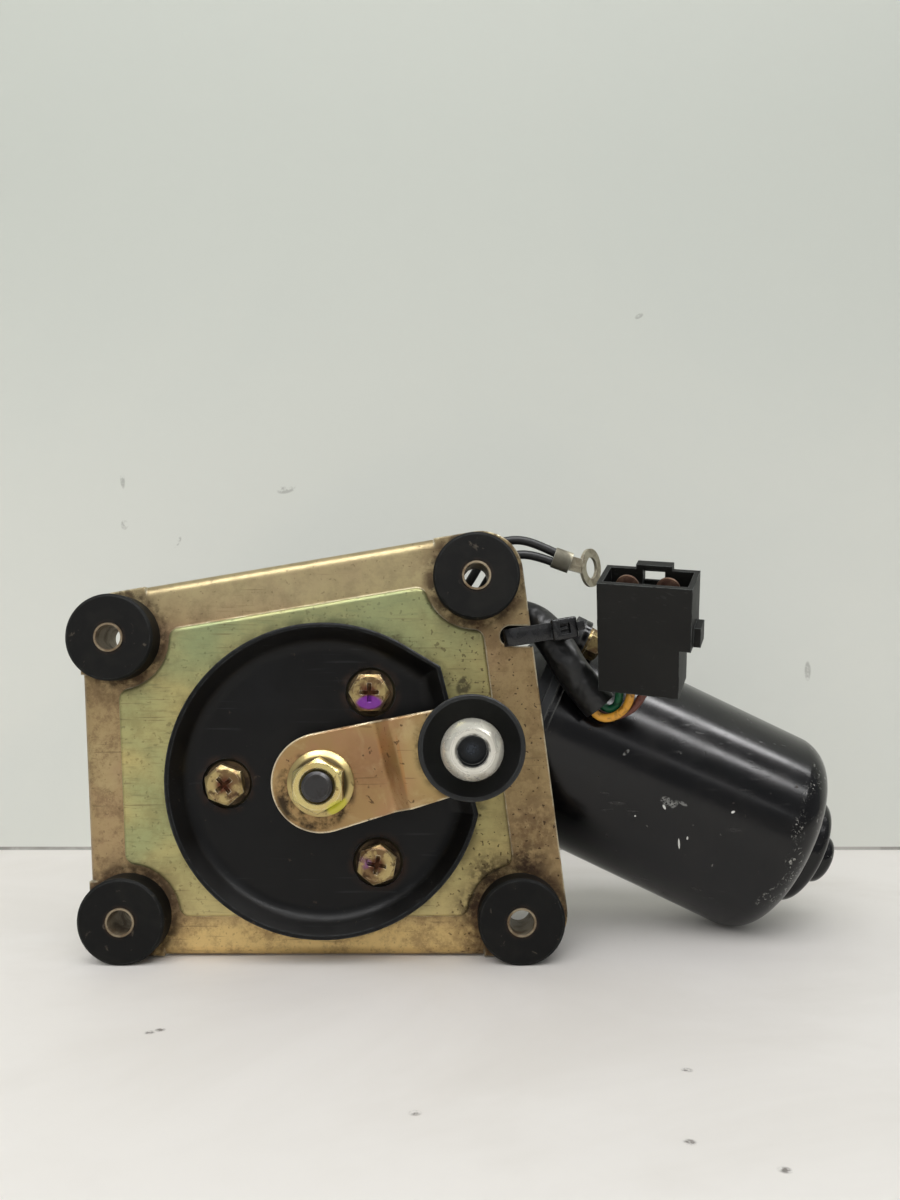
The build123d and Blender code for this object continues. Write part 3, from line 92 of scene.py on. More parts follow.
SHEATH_ROUTE = [
    (36.21, 35.21, -26.98), (38.95, 40.97, -20.6), (44.5, 45.1, -15.8), (52.6, 46.9, -13.6),
    (60.5, 44.5, -9.2), (65.6, 37.2, -4.3), (70.0, 28.8, -2.8), (77.4, 20.2, -2.8),
]
WIRE_ROUTES = {
    "yellow": [(75.59, 18.62, -2.8), (77.28, 16.67, -2.8), (80.9, 16.8, -2.0), (84.0, 19.2, -0.2),
               (85.3, 22.6, 2.3), (85.04, 26.74, 4.85)],
    "green": [(78.06, 20.74, -4.2), (79.6, 18.95, -4.2), (82.2, 19.9, -3.0), (82.6, 23.3, 0.2),
              (81.8, 26.95, 3.8)],
    "brown": [(76.20, 19.14, -5.5), (78.28, 16.73, -5.5), (83.6, 17.4, -4.6), (88.0, 20.4, -0.8),
              (89.5, 26.7, 5.7)],
}
EARTH_ROUTES = {
    "upper": [(24.05, 41.04, -26.96), (27.0, 47.3, -20.0), (33.0, 51.0, -15.4), (39.0, 54.2, -13.8),
              (42.3, 59.4, -13.8), (44.9, 64.7, -14.0), (49.2, 68.2, -14.0), (55.0, 69.1, -14.0),
              (60.8, 67.5, -14.0), (66.2, 64.9, -14.0)],
    "lower": [(27.21, 39.53, -26.96), (30.2, 45.8, -20.0), (36.6, 47.9, -14.4), (42.4, 51.2, -13.6),
              (45.5, 56.4, -13.8), (48.6, 61.4, -14.0), (53.4, 64.6, -14.0), (59.4, 64.5, -14.0),
              (65.3, 62.3, -14.0)],
}


def place(right, up, out=0.0):
    """A point given in millimetres from the output shaft, in the row's frame."""
    return SHAFT + Vector((right, -out, up)) / 1000


def tint(red, green, blue):
    """A screen colour, 0 to 255, as linear light with alpha."""
    def linear(value):
        value /= 255
        return value / 12.92 if value <= 0.04045 else ((value + 0.055) / 1.055) ** 2.4
    return (linear(red), linear(green), linear(blue), 1.0)


# ---- node helpers --------------------------------------------------------------------------------
def add(tree, kind, sockets=None, **settings):
    """A shader node with its settings, its sockets given values or linked."""
    made = tree.nodes.new("ShaderNode" + kind)
    for name, value in settings.items():
        setattr(made, name, value)
    for key, value in (sockets or {}).items():
        if isinstance(value, bpy.types.NodeSocket):
            tree.links.new(value, made.inputs[key])
        else:
            made.inputs[key].default_value = value
    return made


def maths(tree, operation, first, second=0.5, clamp=False):
    """One step of arithmetic."""
    return add(tree, "Math", {0: first, 1: second}, operation=operation, use_clamp=clamp).outputs[0]


def blend_colour(tree, factor, under, over):
    """One colour laid over another by a mask."""
    return add(tree, "Mix", {0: factor, 6: under, 7: over}, data_type="RGBA").outputs[2]


def ramp_value(tree, value, low, high, to_low=0.0, to_high=1.0):
    """A value eased from one range to another."""
    sockets = {"Value": value, "From Min": low, "From Max": high, "To Min": to_low, "To Max": to_high}
    return add(tree, "MapRange", sockets, interpolation_type="SMOOTHSTEP").outputs[0]


def noise(tree, coords, scale, detail=3.0, roughness=0.55, distortion=0.0):
    """Cloudy noise, from 0 to 1."""
    made = add(tree, "TexNoise", {"Vector": coords, "Scale": scale, "Detail": detail,
                                  "Roughness": roughness, "Distortion": distortion})
    return made.outputs["Fac"]


def blotches(tree, coords, scale, low, high, *shape):
    """Mask of irregular blotches. The shape is the noise's detail, roughness and distortion."""
    return ramp_value(tree, noise(tree, coords, scale, *shape), low, high)


def edge_wear_and_highlight(tree, given):
    """Mask along a piece's edges, broken up by noise."""
    rounded = add(tree, "Bevel", {"Radius": given["Radius"]}, samples=6)
    geometry = add(tree, "NewGeometry")
    along = vector_maths(tree, "DOT_PRODUCT", {0: rounded.outputs[0], 1: geometry.outputs["Normal"]})
    edge = ramp_value(tree, along.outputs["Value"], 0.995, 0.82)
    broken = blotches(tree, given["Coordinates"], given["Break Up"], 0.34, 0.62)
    return maths(tree, "MULTIPLY", maths(tree, "MULTIPLY", edge, broken), given["Amount"], clamp=True)


def soft_patches(tree, given):
    """Mask of soft irregular patches."""
    return blotches(tree, given["Coordinates"], given["Scale"], given["Low"], given["High"], 5.0, 0.6, 0.6)


def thin_scratches(tree, given):
    """Mask of thin scratches in two directions, only in scattered places."""
    masks = []
    for turn in (0.6, 2.0):
        turned = add(tree, "Mapping", {"Vector": given["Coordinates"], "Rotation": (0.1, turn, 0.15),
                                       "Scale": (1.0, 26.0, 26.0)})
        masks.append(blotches(tree, turned.outputs[0], given["Scale"], 0.68, 0.73, 1.0, 0.5))
    both = maths(tree, "MAXIMUM", *masks)
    here = blotches(tree, given["Coordinates"], 45.0, 0.42, 0.58)
    return maths(tree, "MULTIPLY", maths(tree, "MULTIPLY", both, here), given["Amount"], clamp=True)


# Each effect: what builds it, and its own settings with their defaults.
EFFECTS = {
    "edge_wear_and_highlight": (edge_wear_and_highlight, {"Radius": 0.0006, "Break Up": 400.0, "Amount": 1.0}),
    "patches": (soft_patches, {"Scale": 60.0, "Low": 0.4, "High": 0.65}),
    "scratches": (thin_scratches, {"Scale": 60.0, "Amount": 1.0}),
}


def effect_group(name):
    """The shader group of an effect, built once: coordinates and settings in, one mask out."""
    if name in bpy.data.node_groups:
        return bpy.data.node_groups[name]
    build, settings = EFFECTS[name]
    tree = bpy.data.node_groups.new(name, "ShaderNodeTree")
    tree.interface.new_socket("Coordinates", in_out="INPUT", socket_type="NodeSocketVector")
    for setting, value in settings.items():
        socket = tree.interface.new_socket(setting, in_out="INPUT", socket_type="NodeSocketFloat")
        socket.default_value = value
    tree.interface.new_socket("Mask", in_out="OUTPUT", socket_type="NodeSocketFloat")
    given = tree.nodes.new("NodeGroupInput").outputs
    put = tree.nodes.new("NodeGroupOutput").inputs
    tree.links.new(build(tree, given), put["Mask"])
    return tree


def vector_maths(tree, operation, sockets):
    """One step of arithmetic on places."""
    return add(tree, "VectorMath", sockets, operation=operation)


def length(tree, vector):
    """Length of a vector."""
    return vector_maths(tree, "LENGTH", {0: vector}).outputs["Value"]


def near(tree, coords, points, inner, outer, flat=True):
    """Mask that fades out with distance from the nearest of some places. Flat leaves out the depth."""
    nearest = None
    for point in points:
        shifted = vector_maths(tree, "SUBTRACT", {0: coords, 1: place(*point)}).outputs[0]
        if flat:
            shifted = vector_maths(tree, "MULTIPLY", {0: shifted, 1: (1, 0, 1)}).outputs[0]
        distance = length(tree, shifted)
        nearest = distance if nearest is None else maths(tree, "MINIMUM", nearest, distance)
    return ramp_value(tree, nearest, outer / 1000, inner / 1000)


def spot(tree, coords, at, half_size, turn):
    """Oval mask facing the front: its place and half sizes in millimetres, turned by degrees."""
    soft = 0.35
    wide, high = half_size
    local = add(tree, "Mapping", {"Vector": coords, "Location": place(*at),
                                  "Rotation": (0, -math.radians(turn), 0),
                                  "Scale": (wide / 1000, 1000.0, high / 1000)},
                vector_type="TEXTURE")
    return ramp_value(tree, length(tree, local.outputs[0]), 1.0, 1.0 - soft)


def motor_ring(tree, coords, along, half_width, inner_radius):
    """Mask on a band round the motor's axis, at a distance along it, outside a radius."""
    tilt = math.radians(MOTOR_TILT)
    right, up, out = MOTOR_AXIS
    centre = place(right + along * math.cos(tilt), up - along * math.sin(tilt), out)
    soft = 0.0005
    local = add(tree, "Mapping", {"Vector": coords, "Location": centre, "Rotation": (0, tilt, 0)},
                vector_type="TEXTURE")
    parts = split(tree, local.outputs[0])
    flat = add(tree, "CombineXYZ", {"Y": parts[1], "Z": parts[2]}).outputs[0]
    along_mask = ramp_value(tree, maths(tree, "ABSOLUTE", parts[0]), half_width / 1000, half_width / 2000)
    radius_mask = ramp_value(tree, length(tree, flat), inner_radius / 1000 - soft, inner_radius / 1000 + soft)
    return maths(tree, "MULTIPLY", along_mask, radius_mask)


def split(tree, coords):
    """Right, inward and up parts of a place."""
    return add(tree, "SeparateXYZ", {0: coords}).outputs


class Finish:
    """Layers of one material: a base colour, masks over it, and a surface grain."""

    def __init__(self, name, colour, roughness, metallic=0.0, specular=0.5):
        self.material = bpy.data.materials.new(name)
        self.material.use_nodes = True
        self.tree = self.material.node_tree
        self.shader = self.tree.nodes["Principled BSDF"]
        self.shader.inputs["Metallic"].default_value = metallic
        self.shader.inputs["Specular IOR Level"].default_value = specular
        self.coords = add(self.tree, "TexCoord").outputs["Object"]
        self.colour = colour
        self.roughness = roughness
        self.height = None
        self.rounding = None

    def blotches(self, scale, low, high, *shape):
        """Mask of irregular blotches."""
        return blotches(self.tree, self.coords, scale, low, high, *shape)

    def eased(self, way, start, full, *strengths):
        """Mask that eases in between two places "right", "up" or "out", in millimetres."""
        part = {"right": 0, "out": 1, "up": 2}[way]
        ends = [place(**{"right": 0, "up": 0, way: at})[part] for at in (start, full)]
        return ramp_value(self.tree, split(self.tree, self.coords)[part], *ends, *strengths)

    def times(self, first, second):
        """The product of two masks, or of a mask and a number."""
        return maths(self.tree, "MULTIPLY", first, second)

    def over(self, mask, colour, strength=1.0, roughness=None):
        """Lay a colour, and maybe a roughness, over what is there."""
        if strength != 1.0:
            mask = self.times(mask, strength)
        self.colour = blend_colour(self.tree, mask, self.colour, colour)
        if roughness is not None:
            mixed = add(self.tree, "Mix", {0: mask, 2: self.roughness, 3: roughness}, data_type="FLOAT")
            self.roughness = mixed.outputs[0]
        return self

    def effect(self, name, colour, strength, roughness, settings):
        """A colour laid on through one of the shared effects."""
        sockets = {"Coordinates": self.coords, **settings}
        made = add(self.tree, "Group", sockets, node_tree=effect_group(name))
        return self.over(made.outputs["Mask"], colour, strength, roughness)

    def patches(self, colour, scale, low=0.4, high=0.65, strength=1.0, roughness=None):
        """A colour in soft patches."""
        settings = {"Scale": scale, "Low": low, "High": high}
        return self.effect("patches", colour, strength, roughness, settings)

    def edges(self, colour, amount, radius, roughness=None, break_up=400.0):
        """A colour along the edges, for wear and for painted highlights."""
        settings = {"Radius": radius, "Break Up": break_up, "Amount": amount}
        return self.effect("edge_wear_and_highlight", colour, 1.0, roughness, settings)

    def scratches(self, colour, scale, amount, roughness=None):
        """A colour in thin scratches."""
        return self.effect("scratches", colour, 1.0, roughness, {"Scale": scale, "Amount": amount})

    def near(self, points, inner, outer, colour, strength=1.0, roughness=None, ragged=140.0, flat=True):
        """A colour round some places, with a ragged edge."""
        mask = near(self.tree, self.coords, points, inner, outer, flat)
        if ragged:
            mask = self.times(mask, self.blotches(ragged, 0.36, 0.6, 5.0, 0.65))
        return self.over(mask, colour, strength, roughness)

    def spots(self, places, colour, strength=1.0, roughness=None, ragged=0.0):
        """Oval marks, each with its place, half sizes and turn."""
        for at, half_size, turn in places:
            mask = spot(self.tree, self.coords, at, half_size, turn)
            if ragged:
                mask = self.times(mask, self.blotches(ragged, 0.42, 0.56, 4.0, 0.7))
            self.over(mask, colour, strength, roughness)
        return self

    def grain(self, scale, depth, detail=4.0):
        """Bumps of a given depth in millimetres."""
        bumps = self.times(noise(self.tree, self.coords, scale, detail), depth / 1000)
        self.height = bumps if self.height is None else maths(self.tree, "ADD", self.height, bumps)
        return self

    def rounded(self, radius):
        """Edges that catch the light as if rounded to a radius in millimetres."""
        self.rounding = add(self.tree, "Bevel", {"Radius": radius / 1000}, samples=4).outputs[0]
        return self

    def uneven_gloss(self, spread, scale=120.0):
        """Roughness that wanders round its value."""
        off_middle = maths(self.tree, "SUBTRACT", noise(self.tree, self.coords, scale), 0.5)
        wander = self.times(off_middle, spread * 2)
        self.roughness = maths(self.tree, "ADD", wander, self.roughness, clamp=True)
        return self

    def done(self):
        """Join the layers to the shader."""
        for key, value in (("Base Color", self.colour), ("Roughness", self.roughness)):
            if isinstance(value, bpy.types.NodeSocket):
                self.tree.links.new(value, self.shader.inputs[key])
            else:
                self.shader.inputs[key].default_value = value
        normal = self.rounding
        if self.height is not None:
            bump = add(self.tree, "Bump", {"Strength": 1.0, "Distance": 1.0, "Height": self.height})
            if normal is not None:
                self.tree.links.new(normal, bump.inputs["Normal"])
            normal = bump.outputs[0]
        if normal is not None:
            self.tree.links.new(normal, self.shader.inputs["Normal"])
        return self.material


def coat_nodes(material, *names):
    """Give CAD nodes a material."""
    for name in names:
        slots = NODES[name].data.materials
        slots.clear()
        slots.append(material)


# ---- sizes and colours a user may change ---------------------------------------------------------
def size_property(name, description, default):
    """A length that a user may change."""
    return bpy.props.FloatProperty(name=name, description=description, default=default, min=0.0,
                                   unit="LENGTH")


def colour_property(name, description, default):
    """A colour that a user may change."""
    return bpy.props.FloatVectorProperty(name=name, description=description, default=default, size=4, min=0.0,
                                         max=1.0, subtype="COLOR")


def light_property(name, description, default, unit="POWER"):
    """A light level that a user may change."""
    return bpy.props.FloatProperty(name=name, description=description, default=default, min=0.0, unit=unit)


class WiperLeadSettings(bpy.types.PropertyGroup):
    """Sizes of the lead."""
    sheath_diameter: size_property("Sheath diameter", "Outside diameter of the lead's sheath", 0.010)
    wire_diameter: size_property("Wire diameter", "Diameter of the three wires at the connector", 0.0024)
    earth_diameter: size_property("Earth wire diameter", "Diameter of the two earth wires", 0.0026)


class WiperTieSettings(bpy.types.PropertyGroup):
    """Sizes of the cable tie."""
    strap_width: size_property("Strap width", "Width of the cable tie's strap", 0.0048)
    strap_thickness: size_property("Strap thickness", "Thickness of the cable tie's strap", 0.0011)
    head_length: size_property("Head length", "Length of the cable tie's head along the strap", 0.0070)
    head_height: size_property("Head height", "Height of the cable tie's head above the strap", 0.0050)


class WiperBladeSettings(bpy.types.PropertyGroup):
    """Sizes of the connector's blades."""
    blade_width: size_property("Blade width", "Width of a blade", 0.0063)
    blade_thickness: size_property("Blade thickness", "Thickness of a blade", 0.0008)
    blade_length: size_property("Blade length", "Length of a blade above the connector's floor", 0.0137)


class WiperColourSettings(bpy.types.PropertyGroup):
    """Main colours."""
    zinc_tan: colour_property("Zinc tan", "Yellow zinc on the bracket's rim", tint(168, 146, 104))
    zinc_olive: colour_property("Zinc olive", "Yellow zinc on the raised panel", tint(180, 170, 114))
    arm_gold: colour_property("Arm gold", "Yellow zinc on the crank arm", tint(160, 130, 86))
    rubber_black: colour_property("Rubber", "Grommets, seal and boot", tint(9, 9, 8))
    can_black: colour_property("Can black", "Gloss paint on the motor's can", tint(5, 5, 6))
    ball_grey: colour_property("Ball grey", "Coating on the drive ball", tint(206, 203, 192))
    floor_pale: colour_property("Floor", "Floor of the stage", tint(238, 234, 229))
    wall_pale: colour_property("Wall", "Backdrop of the stage", tint(207, 208, 200))


class WiperStageSettings(bpy.types.PropertyGroup):
    """Light levels."""
    strip_power: light_property("Ceiling strips", "Power of a ceiling strip whose share is 1", 7.0)
    key_power: light_property("Overhead", "Power of the soft box overhead", 7.6)
    front_power: light_property("Front", "Power of the soft box in front", 7.8)
    fill_strength: light_property("Fill", "Strength of the even light all round", 0.3, "NONE")


# ---- stage ---------------------------------------------------------------------------------------
class WIPER_OT_stage(bpy.types.Operator):
    """Camera, floor, backdrop and lights"""
    bl_idname = "wiper.stage"
    bl_label = "Stage"

    def execute(self, context):
        scene = context.scene
        scene.view_settings.view_transform = "Standard"
        leave_pieces_alone()
        bpy.ops.object.camera_add(location=place(*CAMERA_PLACE), rotation=(math.radians(90), 0, 0))
        scene.camera = context.object
        camera = context.object.data
        camera.sensor_fit = "VERTICAL"
        camera.sensor_height = 36.0
        camera.lens = 30.0
        camera.shift_y = 70 / 1200  # share of the frame's height from the eye line up to its middle
        camera.clip_start = 0.01
        make_backdrop(scene.wiper_colours)
        make_world(scene.wiper_stage.fill_strength)
        make_lights(scene.wiper_stage)
        return {"FINISHED"}


def leave_pieces_alone():
    """Deselect everything before something new is added."""
    if bpy.context.object and bpy.context.object.mode != "OBJECT":
        bpy.ops.object.mode_set(mode="OBJECT")
    bpy.ops.object.select_all(action="DESELECT")


def apply_place():
    """Put the selected objects' place, turn and scale into their meshes."""
    bpy.ops.object.transform_apply(location=True, rotation=True, scale=True)


def flat_sheet(name, centre, size, upright, material):
    """A flat sheet that lies face up, or stands and faces the front."""
    leave_pieces_alone()
    lean = math.radians(90) if upright else 0
    bpy.ops.mesh.primitive_plane_add(size=1, location=centre, rotation=(lean, 0, 0))
    sheet = bpy.context.object
    sheet.name = sheet.data.name = name
    sheet.scale = (*size, 1)
    apply_place()
    sheet.data.materials.append(material)
    sheet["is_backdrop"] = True


def see_through_behind(material):
    """Let a stage sheet vanish when it is seen from its back."""
    tree = material.node_tree
    front = tree.nodes["Principled BSDF"]
    clear = add(tree, "BsdfTransparent")
    behind = add(tree, "NewGeometry").outputs["Backfacing"]
    mixed = add(tree, "MixShader", {0: behind, 1: front.outputs[0], 2: clear.outputs[0]})
    tree.links.new(mixed.outputs[0], tree.nodes["Material Output"].inputs["Surface"])
    return material


def floor_finish(colour):
    """Pale paint with soft patches and a few crumbs of dirt."""
    floor = Finish("floor_paint", colour, 0.55)
    floor.patches(tint(224, 219, 212), 9.0, 0.4, 0.7, 0.6)
    floor.patches(tint(120, 112, 108), 34.0, 0.735, 0.76, 0.35)
    crumbs = [(-30.7, 56.4), (-32.6, 58.0), (28.3, 98.7), (82.8, 79.0), (76.0, 110.0), (89.1, 119.6)]
    places = [(right, FLOOR_UP, out) for right, out in crumbs]
    floor.near(places, 0.5, 1.5, tint(74, 62, 56), 0.8, None, 620.0, flat=False)
    return floor.done()


def wall_finish(colour):
    """Matt paint, with painted shade that darkens it with height, and scuffs."""
    wall = Finish("wall_paint", colour, 0.7)
    wall.patches(tint(200, 203, 197), 5.0, 0.4, 0.7, 0.5)
    wall.grain(260.0, 0.03)
    height = split(wall.tree, wall.coords)[2]
    # Painted shade: the wall is darkened towards the top.
    wall.over(ramp_value(wall.tree, height, 0.06, 0.34), tint(171, 176, 167), 0.75)
    scuffs = [((-39.0, 112.0), (5.0, 2.2), 15.0), ((-113.0, 116.0), (1.2, 4.4), 5.0),
              ((-88.0, 88.0), (3.4, 1.0), 60.0), ((-112.0, 96.0), (2.0, 2.6), 0.0),
              ((-118.0, 62.0), (2.2, 3.0), 0.0), ((196.0, 30.0), (1.6, 5.0), 0.0),
              ((120.0, 190.0), (2.6, 1.2), 30.0)]
    places = [((*at, WALL_OUT), half_size, turn) for at, half_size, turn in scuffs]
    wall.spots(places, tint(120, 118, 112), 0.5, None, 210.0)
    return see_through_behind(wall.done())


def joint_shadow_finish():
    """Painted shadow: a grey line where the wall meets the floor."""
    line = Finish("joint_shadow_line", tint(168, 166, 160), 0.7)
    line.patches(tint(140, 138, 132), 40.0, 0.4, 0.6)
    return see_through_behind(line.done())


def make_backdrop(colours):
    """Pale floor and a wall behind, with a painted shadow line between them."""
    wall_at = place(0, 0, WALL_OUT).y
    wide, deep, high = 2.8, 1.45, 1.5
    line_high, line_middle, line_proud = 0.0014, 0.0009, 0.0005
    floor_paint = floor_finish(tuple(colours.floor_pale))
    wall_paint = wall_finish(tuple(colours.wall_pale))
    # Painted shadow: a thin grey strip along the foot of the wall.
    flat_sheet("joint_shadow_strip", (0, wall_at - line_proud, line_middle), (wide, line_high), True, joint_shadow_finish())
    flat_sheet("floor", (0, wall_at - deep / 2, 0), (wide, deep), False, floor_paint)
    flat_sheet("backdrop", (0, wall_at, high / 2), (wide, high), True, wall_paint)


def area_light(name, at, aim, size, power):
    """A rectangular lamp, turned towards its aim."""
    turn = (Vector(aim) - Vector(at)).to_track_quat("-Z", "Y").to_euler()
    bpy.ops.object.light_add(type="AREA", location=at, rotation=turn)
    lamp = bpy.context.object
    lamp.name = lamp.data.name = name
    lamp.data.shape = "RECTANGLE"
    lamp.data.size, lamp.data.size_y = size
    lamp.data.energy = power
    return lamp


def make_world(fill_strength):
    """Dim even light all round, which the camera sees as a pale grey."""
    seen_strength = 0.62
    world = bpy.data.worlds.new("even_light")
    world.use_nodes = True
    tree = world.node_tree
    background = tree.nodes["Background"]
    background.inputs["Color"].default_value = (0.95, 0.97, 1.0, 1)
    seen = add(tree, "LightPath").outputs["Is Camera Ray"]
    strength = add(tree, "MapRange", {"Value": seen, "To Min": fill_strength, "To Max": seen_strength})
    tree.links.new(strength.outputs[0], background.inputs["Strength"])
    bpy.context.scene.world = world


def make_lights(stage):
    """Three long strips that streak the can, and soft boxes overhead and in front."""
    strip_length = 1.6
    strips = {"strip_high": (-0.26, 0.85, 0.1, 1.25), "strip_middle": (-0.64, 0.80, 0.085, 1.05),
              "strip_low": (-1.35, 0.52, 0.06, 0.12)}
    for name, (inwards, high, width, share) in strips.items():
        strip = area_light(name, (0.15, inwards, high), (0.05, 0.0, 0.05), (strip_length, width),
                           stage.strip_power * share)
        strip.visible_diffuse = False
    boxes = {"overhead_soft": ((-0.1, -0.55, 0.95), (0.0, -0.05, 0.0), (1.2, 0.9), stage.key_power),
             "front_soft": ((-0.35, -1.3, 0.55), (0.0, 0.0, 0.08), (1.0, 0.9), stage.front_power)}
    for name, settings in boxes.items():
        area_light(name, *settings).visible_glossy = False


# ---- lead ----------------------------------------------------------------------------------------
def lead_curve(name, route, diameter, material):
    """A smooth round cord drawn along its route's control points."""
    curve = bpy.data.curves.new(name, "CURVE")
    curve.dimensions = "3D"
    spline = curve.splines.new("NURBS")
    spline.points.add(len(route) - 1)
    for point, stop in zip(spline.points, route):
        point.co = (*place(*stop), 1.0)
    spline.order_u = 3
    spline.use_endpoint_u = True
    spline.resolution_u = 12
    curve.bevel_depth = diameter / 2
    curve.bevel_resolution = 8
    curve.use_fill_caps = True
    curve.materials.append(material)
    cord = bpy.data.objects.new(name, curve)
    bpy.context.scene.collection.objects.link(cord)
    return cord


def sheath_finish():
    """Black sheath with soft folds."""
    finish = Finish("sheath_pvc", tint(14, 14, 14), 0.36, specular=0.45)
    finish.patches(tint(30, 30, 28), 90.0, 0.45, 0.7, 0.6, 0.5)
    finish.patches(tint(10, 10, 10), 150.0, 0.5, 0.7, 0.6)
    finish.grain(130.0, 1.5, 2.0)
    finish.grain(900.0, 0.05)
    return finish.done()


def wire_finish(name, colour, scuff):
    """Scuffed insulation."""
    finish = Finish(name, colour, 0.42)
    finish.patches(scuff, 420.0, 0.52, 0.66, 0.8, 0.6)
    finish.grain(700.0, 0.04)
    return finish.done()


class WIPER_OT_lead(bpy.types.Operator):
    """Sheath with its three wires to the connector"""
    bl_idname = "wiper.lead"
    bl_label = "Lead"

    def execute(self, context):
        sizes = context.scene.wiper_lead
        sheath = lead_curve("lead_sheath", SHEATH_ROUTE, sizes.sheath_diameter, sheath_finish())
        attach(sheath, "motor")
        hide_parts("harness_sheath")
        looks = {"yellow": (tint(208, 150, 50), tint(96, 58, 22)),
                 "green": (tint(14, 84, 54), tint(8, 30, 22)),
                 "brown": (tint(104, 62, 52), tint(60, 36, 30))}
        for colour, (main, scuff) in looks.items():
            wire = lead_curve(f"lead_wire_{colour}", WIRE_ROUTES[colour], sizes.wire_diameter,
                              wire_finish(f"{colour}_insulation", main, scuff))
            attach(wire, "motor")
            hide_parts(f"wire_{colour}")
        place(*SHEATH_ROUTE[0])
        return {"FINISHED"}


class WIPER_OT_earth_wires(bpy.types.Operator):
    """Two earth wires that end in the ring terminal"""
    bl_idname = "wiper.earth_wires"
    bl_label = "Earth wires"

    def execute(self, context):
        diameter = context.scene.wiper_lead.earth_diameter
        insulation = wire_finish("black_insulation", tint(12, 12, 12), tint(34, 34, 32))
        for name, route in EARTH_ROUTES.items():
            wire = lead_curve(f"earth_lead_{name}", route, diameter, insulation)
            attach(wire, "motor")
            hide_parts(f"earth_wire_{name}")
            place(*route[0])
        return {"FINISHED"}


# ---- steps of modelling --------------------------------------------------------------------------
def edit_faces():
    """Edit the active piece with all its faces selected."""
    bpy.ops.object.mode_set(mode="EDIT")
    bpy.ops.mesh.select_mode(type="FACE")
    bpy.ops.mesh.select_all(action="SELECT")


def pick_faces(test):
    """Select the faces of the piece in edit mode that pass a test."""
    bpy.ops.mesh.select_all(action="DESELECT")
    bpy.ops.object.mode_set(mode="OBJECT")
    for face in bpy.context.object.data.polygons:
        face.select = test(face)
    bpy.ops.object.mode_set(mode="EDIT")


def leave_faces():
    """Leave edit mode, and give the piece."""
    bpy.ops.object.mode_set(mode="OBJECT")
    return bpy.context.object


def extrude_by(run):
    """Extrude the selected faces by a run."""
    bpy.ops.mesh.extrude_region_move(TRANSFORM_OT_translate={"value": run})


def close_mesh():
    """Merge the piece's doubles and turn its faces outwards."""
    bpy.ops.mesh.select_all(action="SELECT")
    bpy.ops.mesh.remove_doubles(threshold=1e-6)
    bpy.ops.mesh.normals_make_consistent(inside=False)


def join_pieces(main_piece, other, name):
    """Join another piece into the main one, and name it."""
    other.select_set(True)
    main_piece.select_set(True)
    bpy.context.view_layer.objects.active = main_piece
    bpy.ops.object.join()
    main_piece.name = main_piece.data.name = name


def give_material(piece, material):
    """Leave a piece one material."""
    piece.data.materials.clear()
    piece.data.materials.append(material)


# ---- cable tie -----------------------------------------------------------------------------------
def tie_strap(sizes):
    """Closed strap: a face run along its legs and spun round its corners, x right and y inwards."""
    start = 0.004
    outer, tight = 0.0058, 0.0022
    front, back = -0.0015, 0.0147
    right, left = 0.0170, -0.0028
    slot_bend, slot_inset = 0.0055, 0.0008
    bpy.ops.mesh.primitive_plane_add(size=1, location=(start, front, 0), rotation=(0, math.radians(90), 0))
    apply_place()
    edit_faces()
    bpy.ops.transform.resize(value=(1, sizes.strap_thickness, sizes.strap_width))
    through = left + slot_inset
    legs = [((right - outer - start, 0, 0), (right - outer, front + outer, 0)),
            ((0, back - front - 2 * outer, 0), (right - outer, back - outer, 0)),
            ((left + 2 * outer - right, 0, 0), (left + outer, back - outer, 0)),
            ((0, slot_bend - back + outer, 0), None),
            ((through - left, front + tight - slot_bend, 0), (through + tight, front + tight, 0)),
            ((start - through - tight, 0, 0), None)]
    for run, corner in legs:
        extrude_by(run)
        if corner:
            bpy.ops.mesh.spin(steps=8, angle=math.radians(90), center=corner, axis=(0, 0, -1))
    pick_faces(lambda face: abs(face.center.x - start) < 1e-5 and abs(face.normal.x) > 0.9)
    bpy.ops.mesh.delete(type="ONLY_FACE")
    close_mesh()
    return leave_faces()


def tie_head(sizes):
    """Ratchet box with its window, and the cut end of the strap out of its side."""
    centre = (0.0146, -0.0036, 0)
    overhang, rounding = 0.0012, 0.0006
    window_wall, window_share = 0.0009, 0.7
    tail_inset, tail_thinning, tail_run = 0.0011, 0.4, (0.0022, -0.0005, 0.0003)
    leave_pieces_alone()
    bpy.ops.mesh.primitive_cube_add(size=1, location=centre)
    apply_place()
    edit_faces()
    bpy.ops.transform.resize(value=(sizes.head_length, sizes.head_height, sizes.strap_width + overhang))
    bpy.ops.mesh.bevel(offset=rounding, segments=2, affect="EDGES")
    pick_faces(lambda face: face.normal.y < -0.99)
    bpy.ops.mesh.inset(thickness=window_wall)
    bpy.ops.transform.resize(value=(window_share, 1, 1))
    extrude_by((0, window_share * sizes.head_height, 0))
    pick_faces(lambda face: face.normal.x > 0.99)
    bpy.ops.mesh.inset(thickness=tail_inset)
    bpy.ops.transform.resize(value=(1, tail_thinning, 1))
    extrude_by(tail_run)
    return leave_faces()


def tie_finish():
    """Glossy black nylon."""
    nylon = Finish("tie_nylon", tint(8, 8, 9), 0.26)
    nylon.patches(tint(24, 25, 27), 240.0, 0.45, 0.7, 0.6, 0.4)
    nylon.edges(tint(96, 100, 102), 0.5, 0.0004)
    return nylon.grain(700.0, 0.03).done()


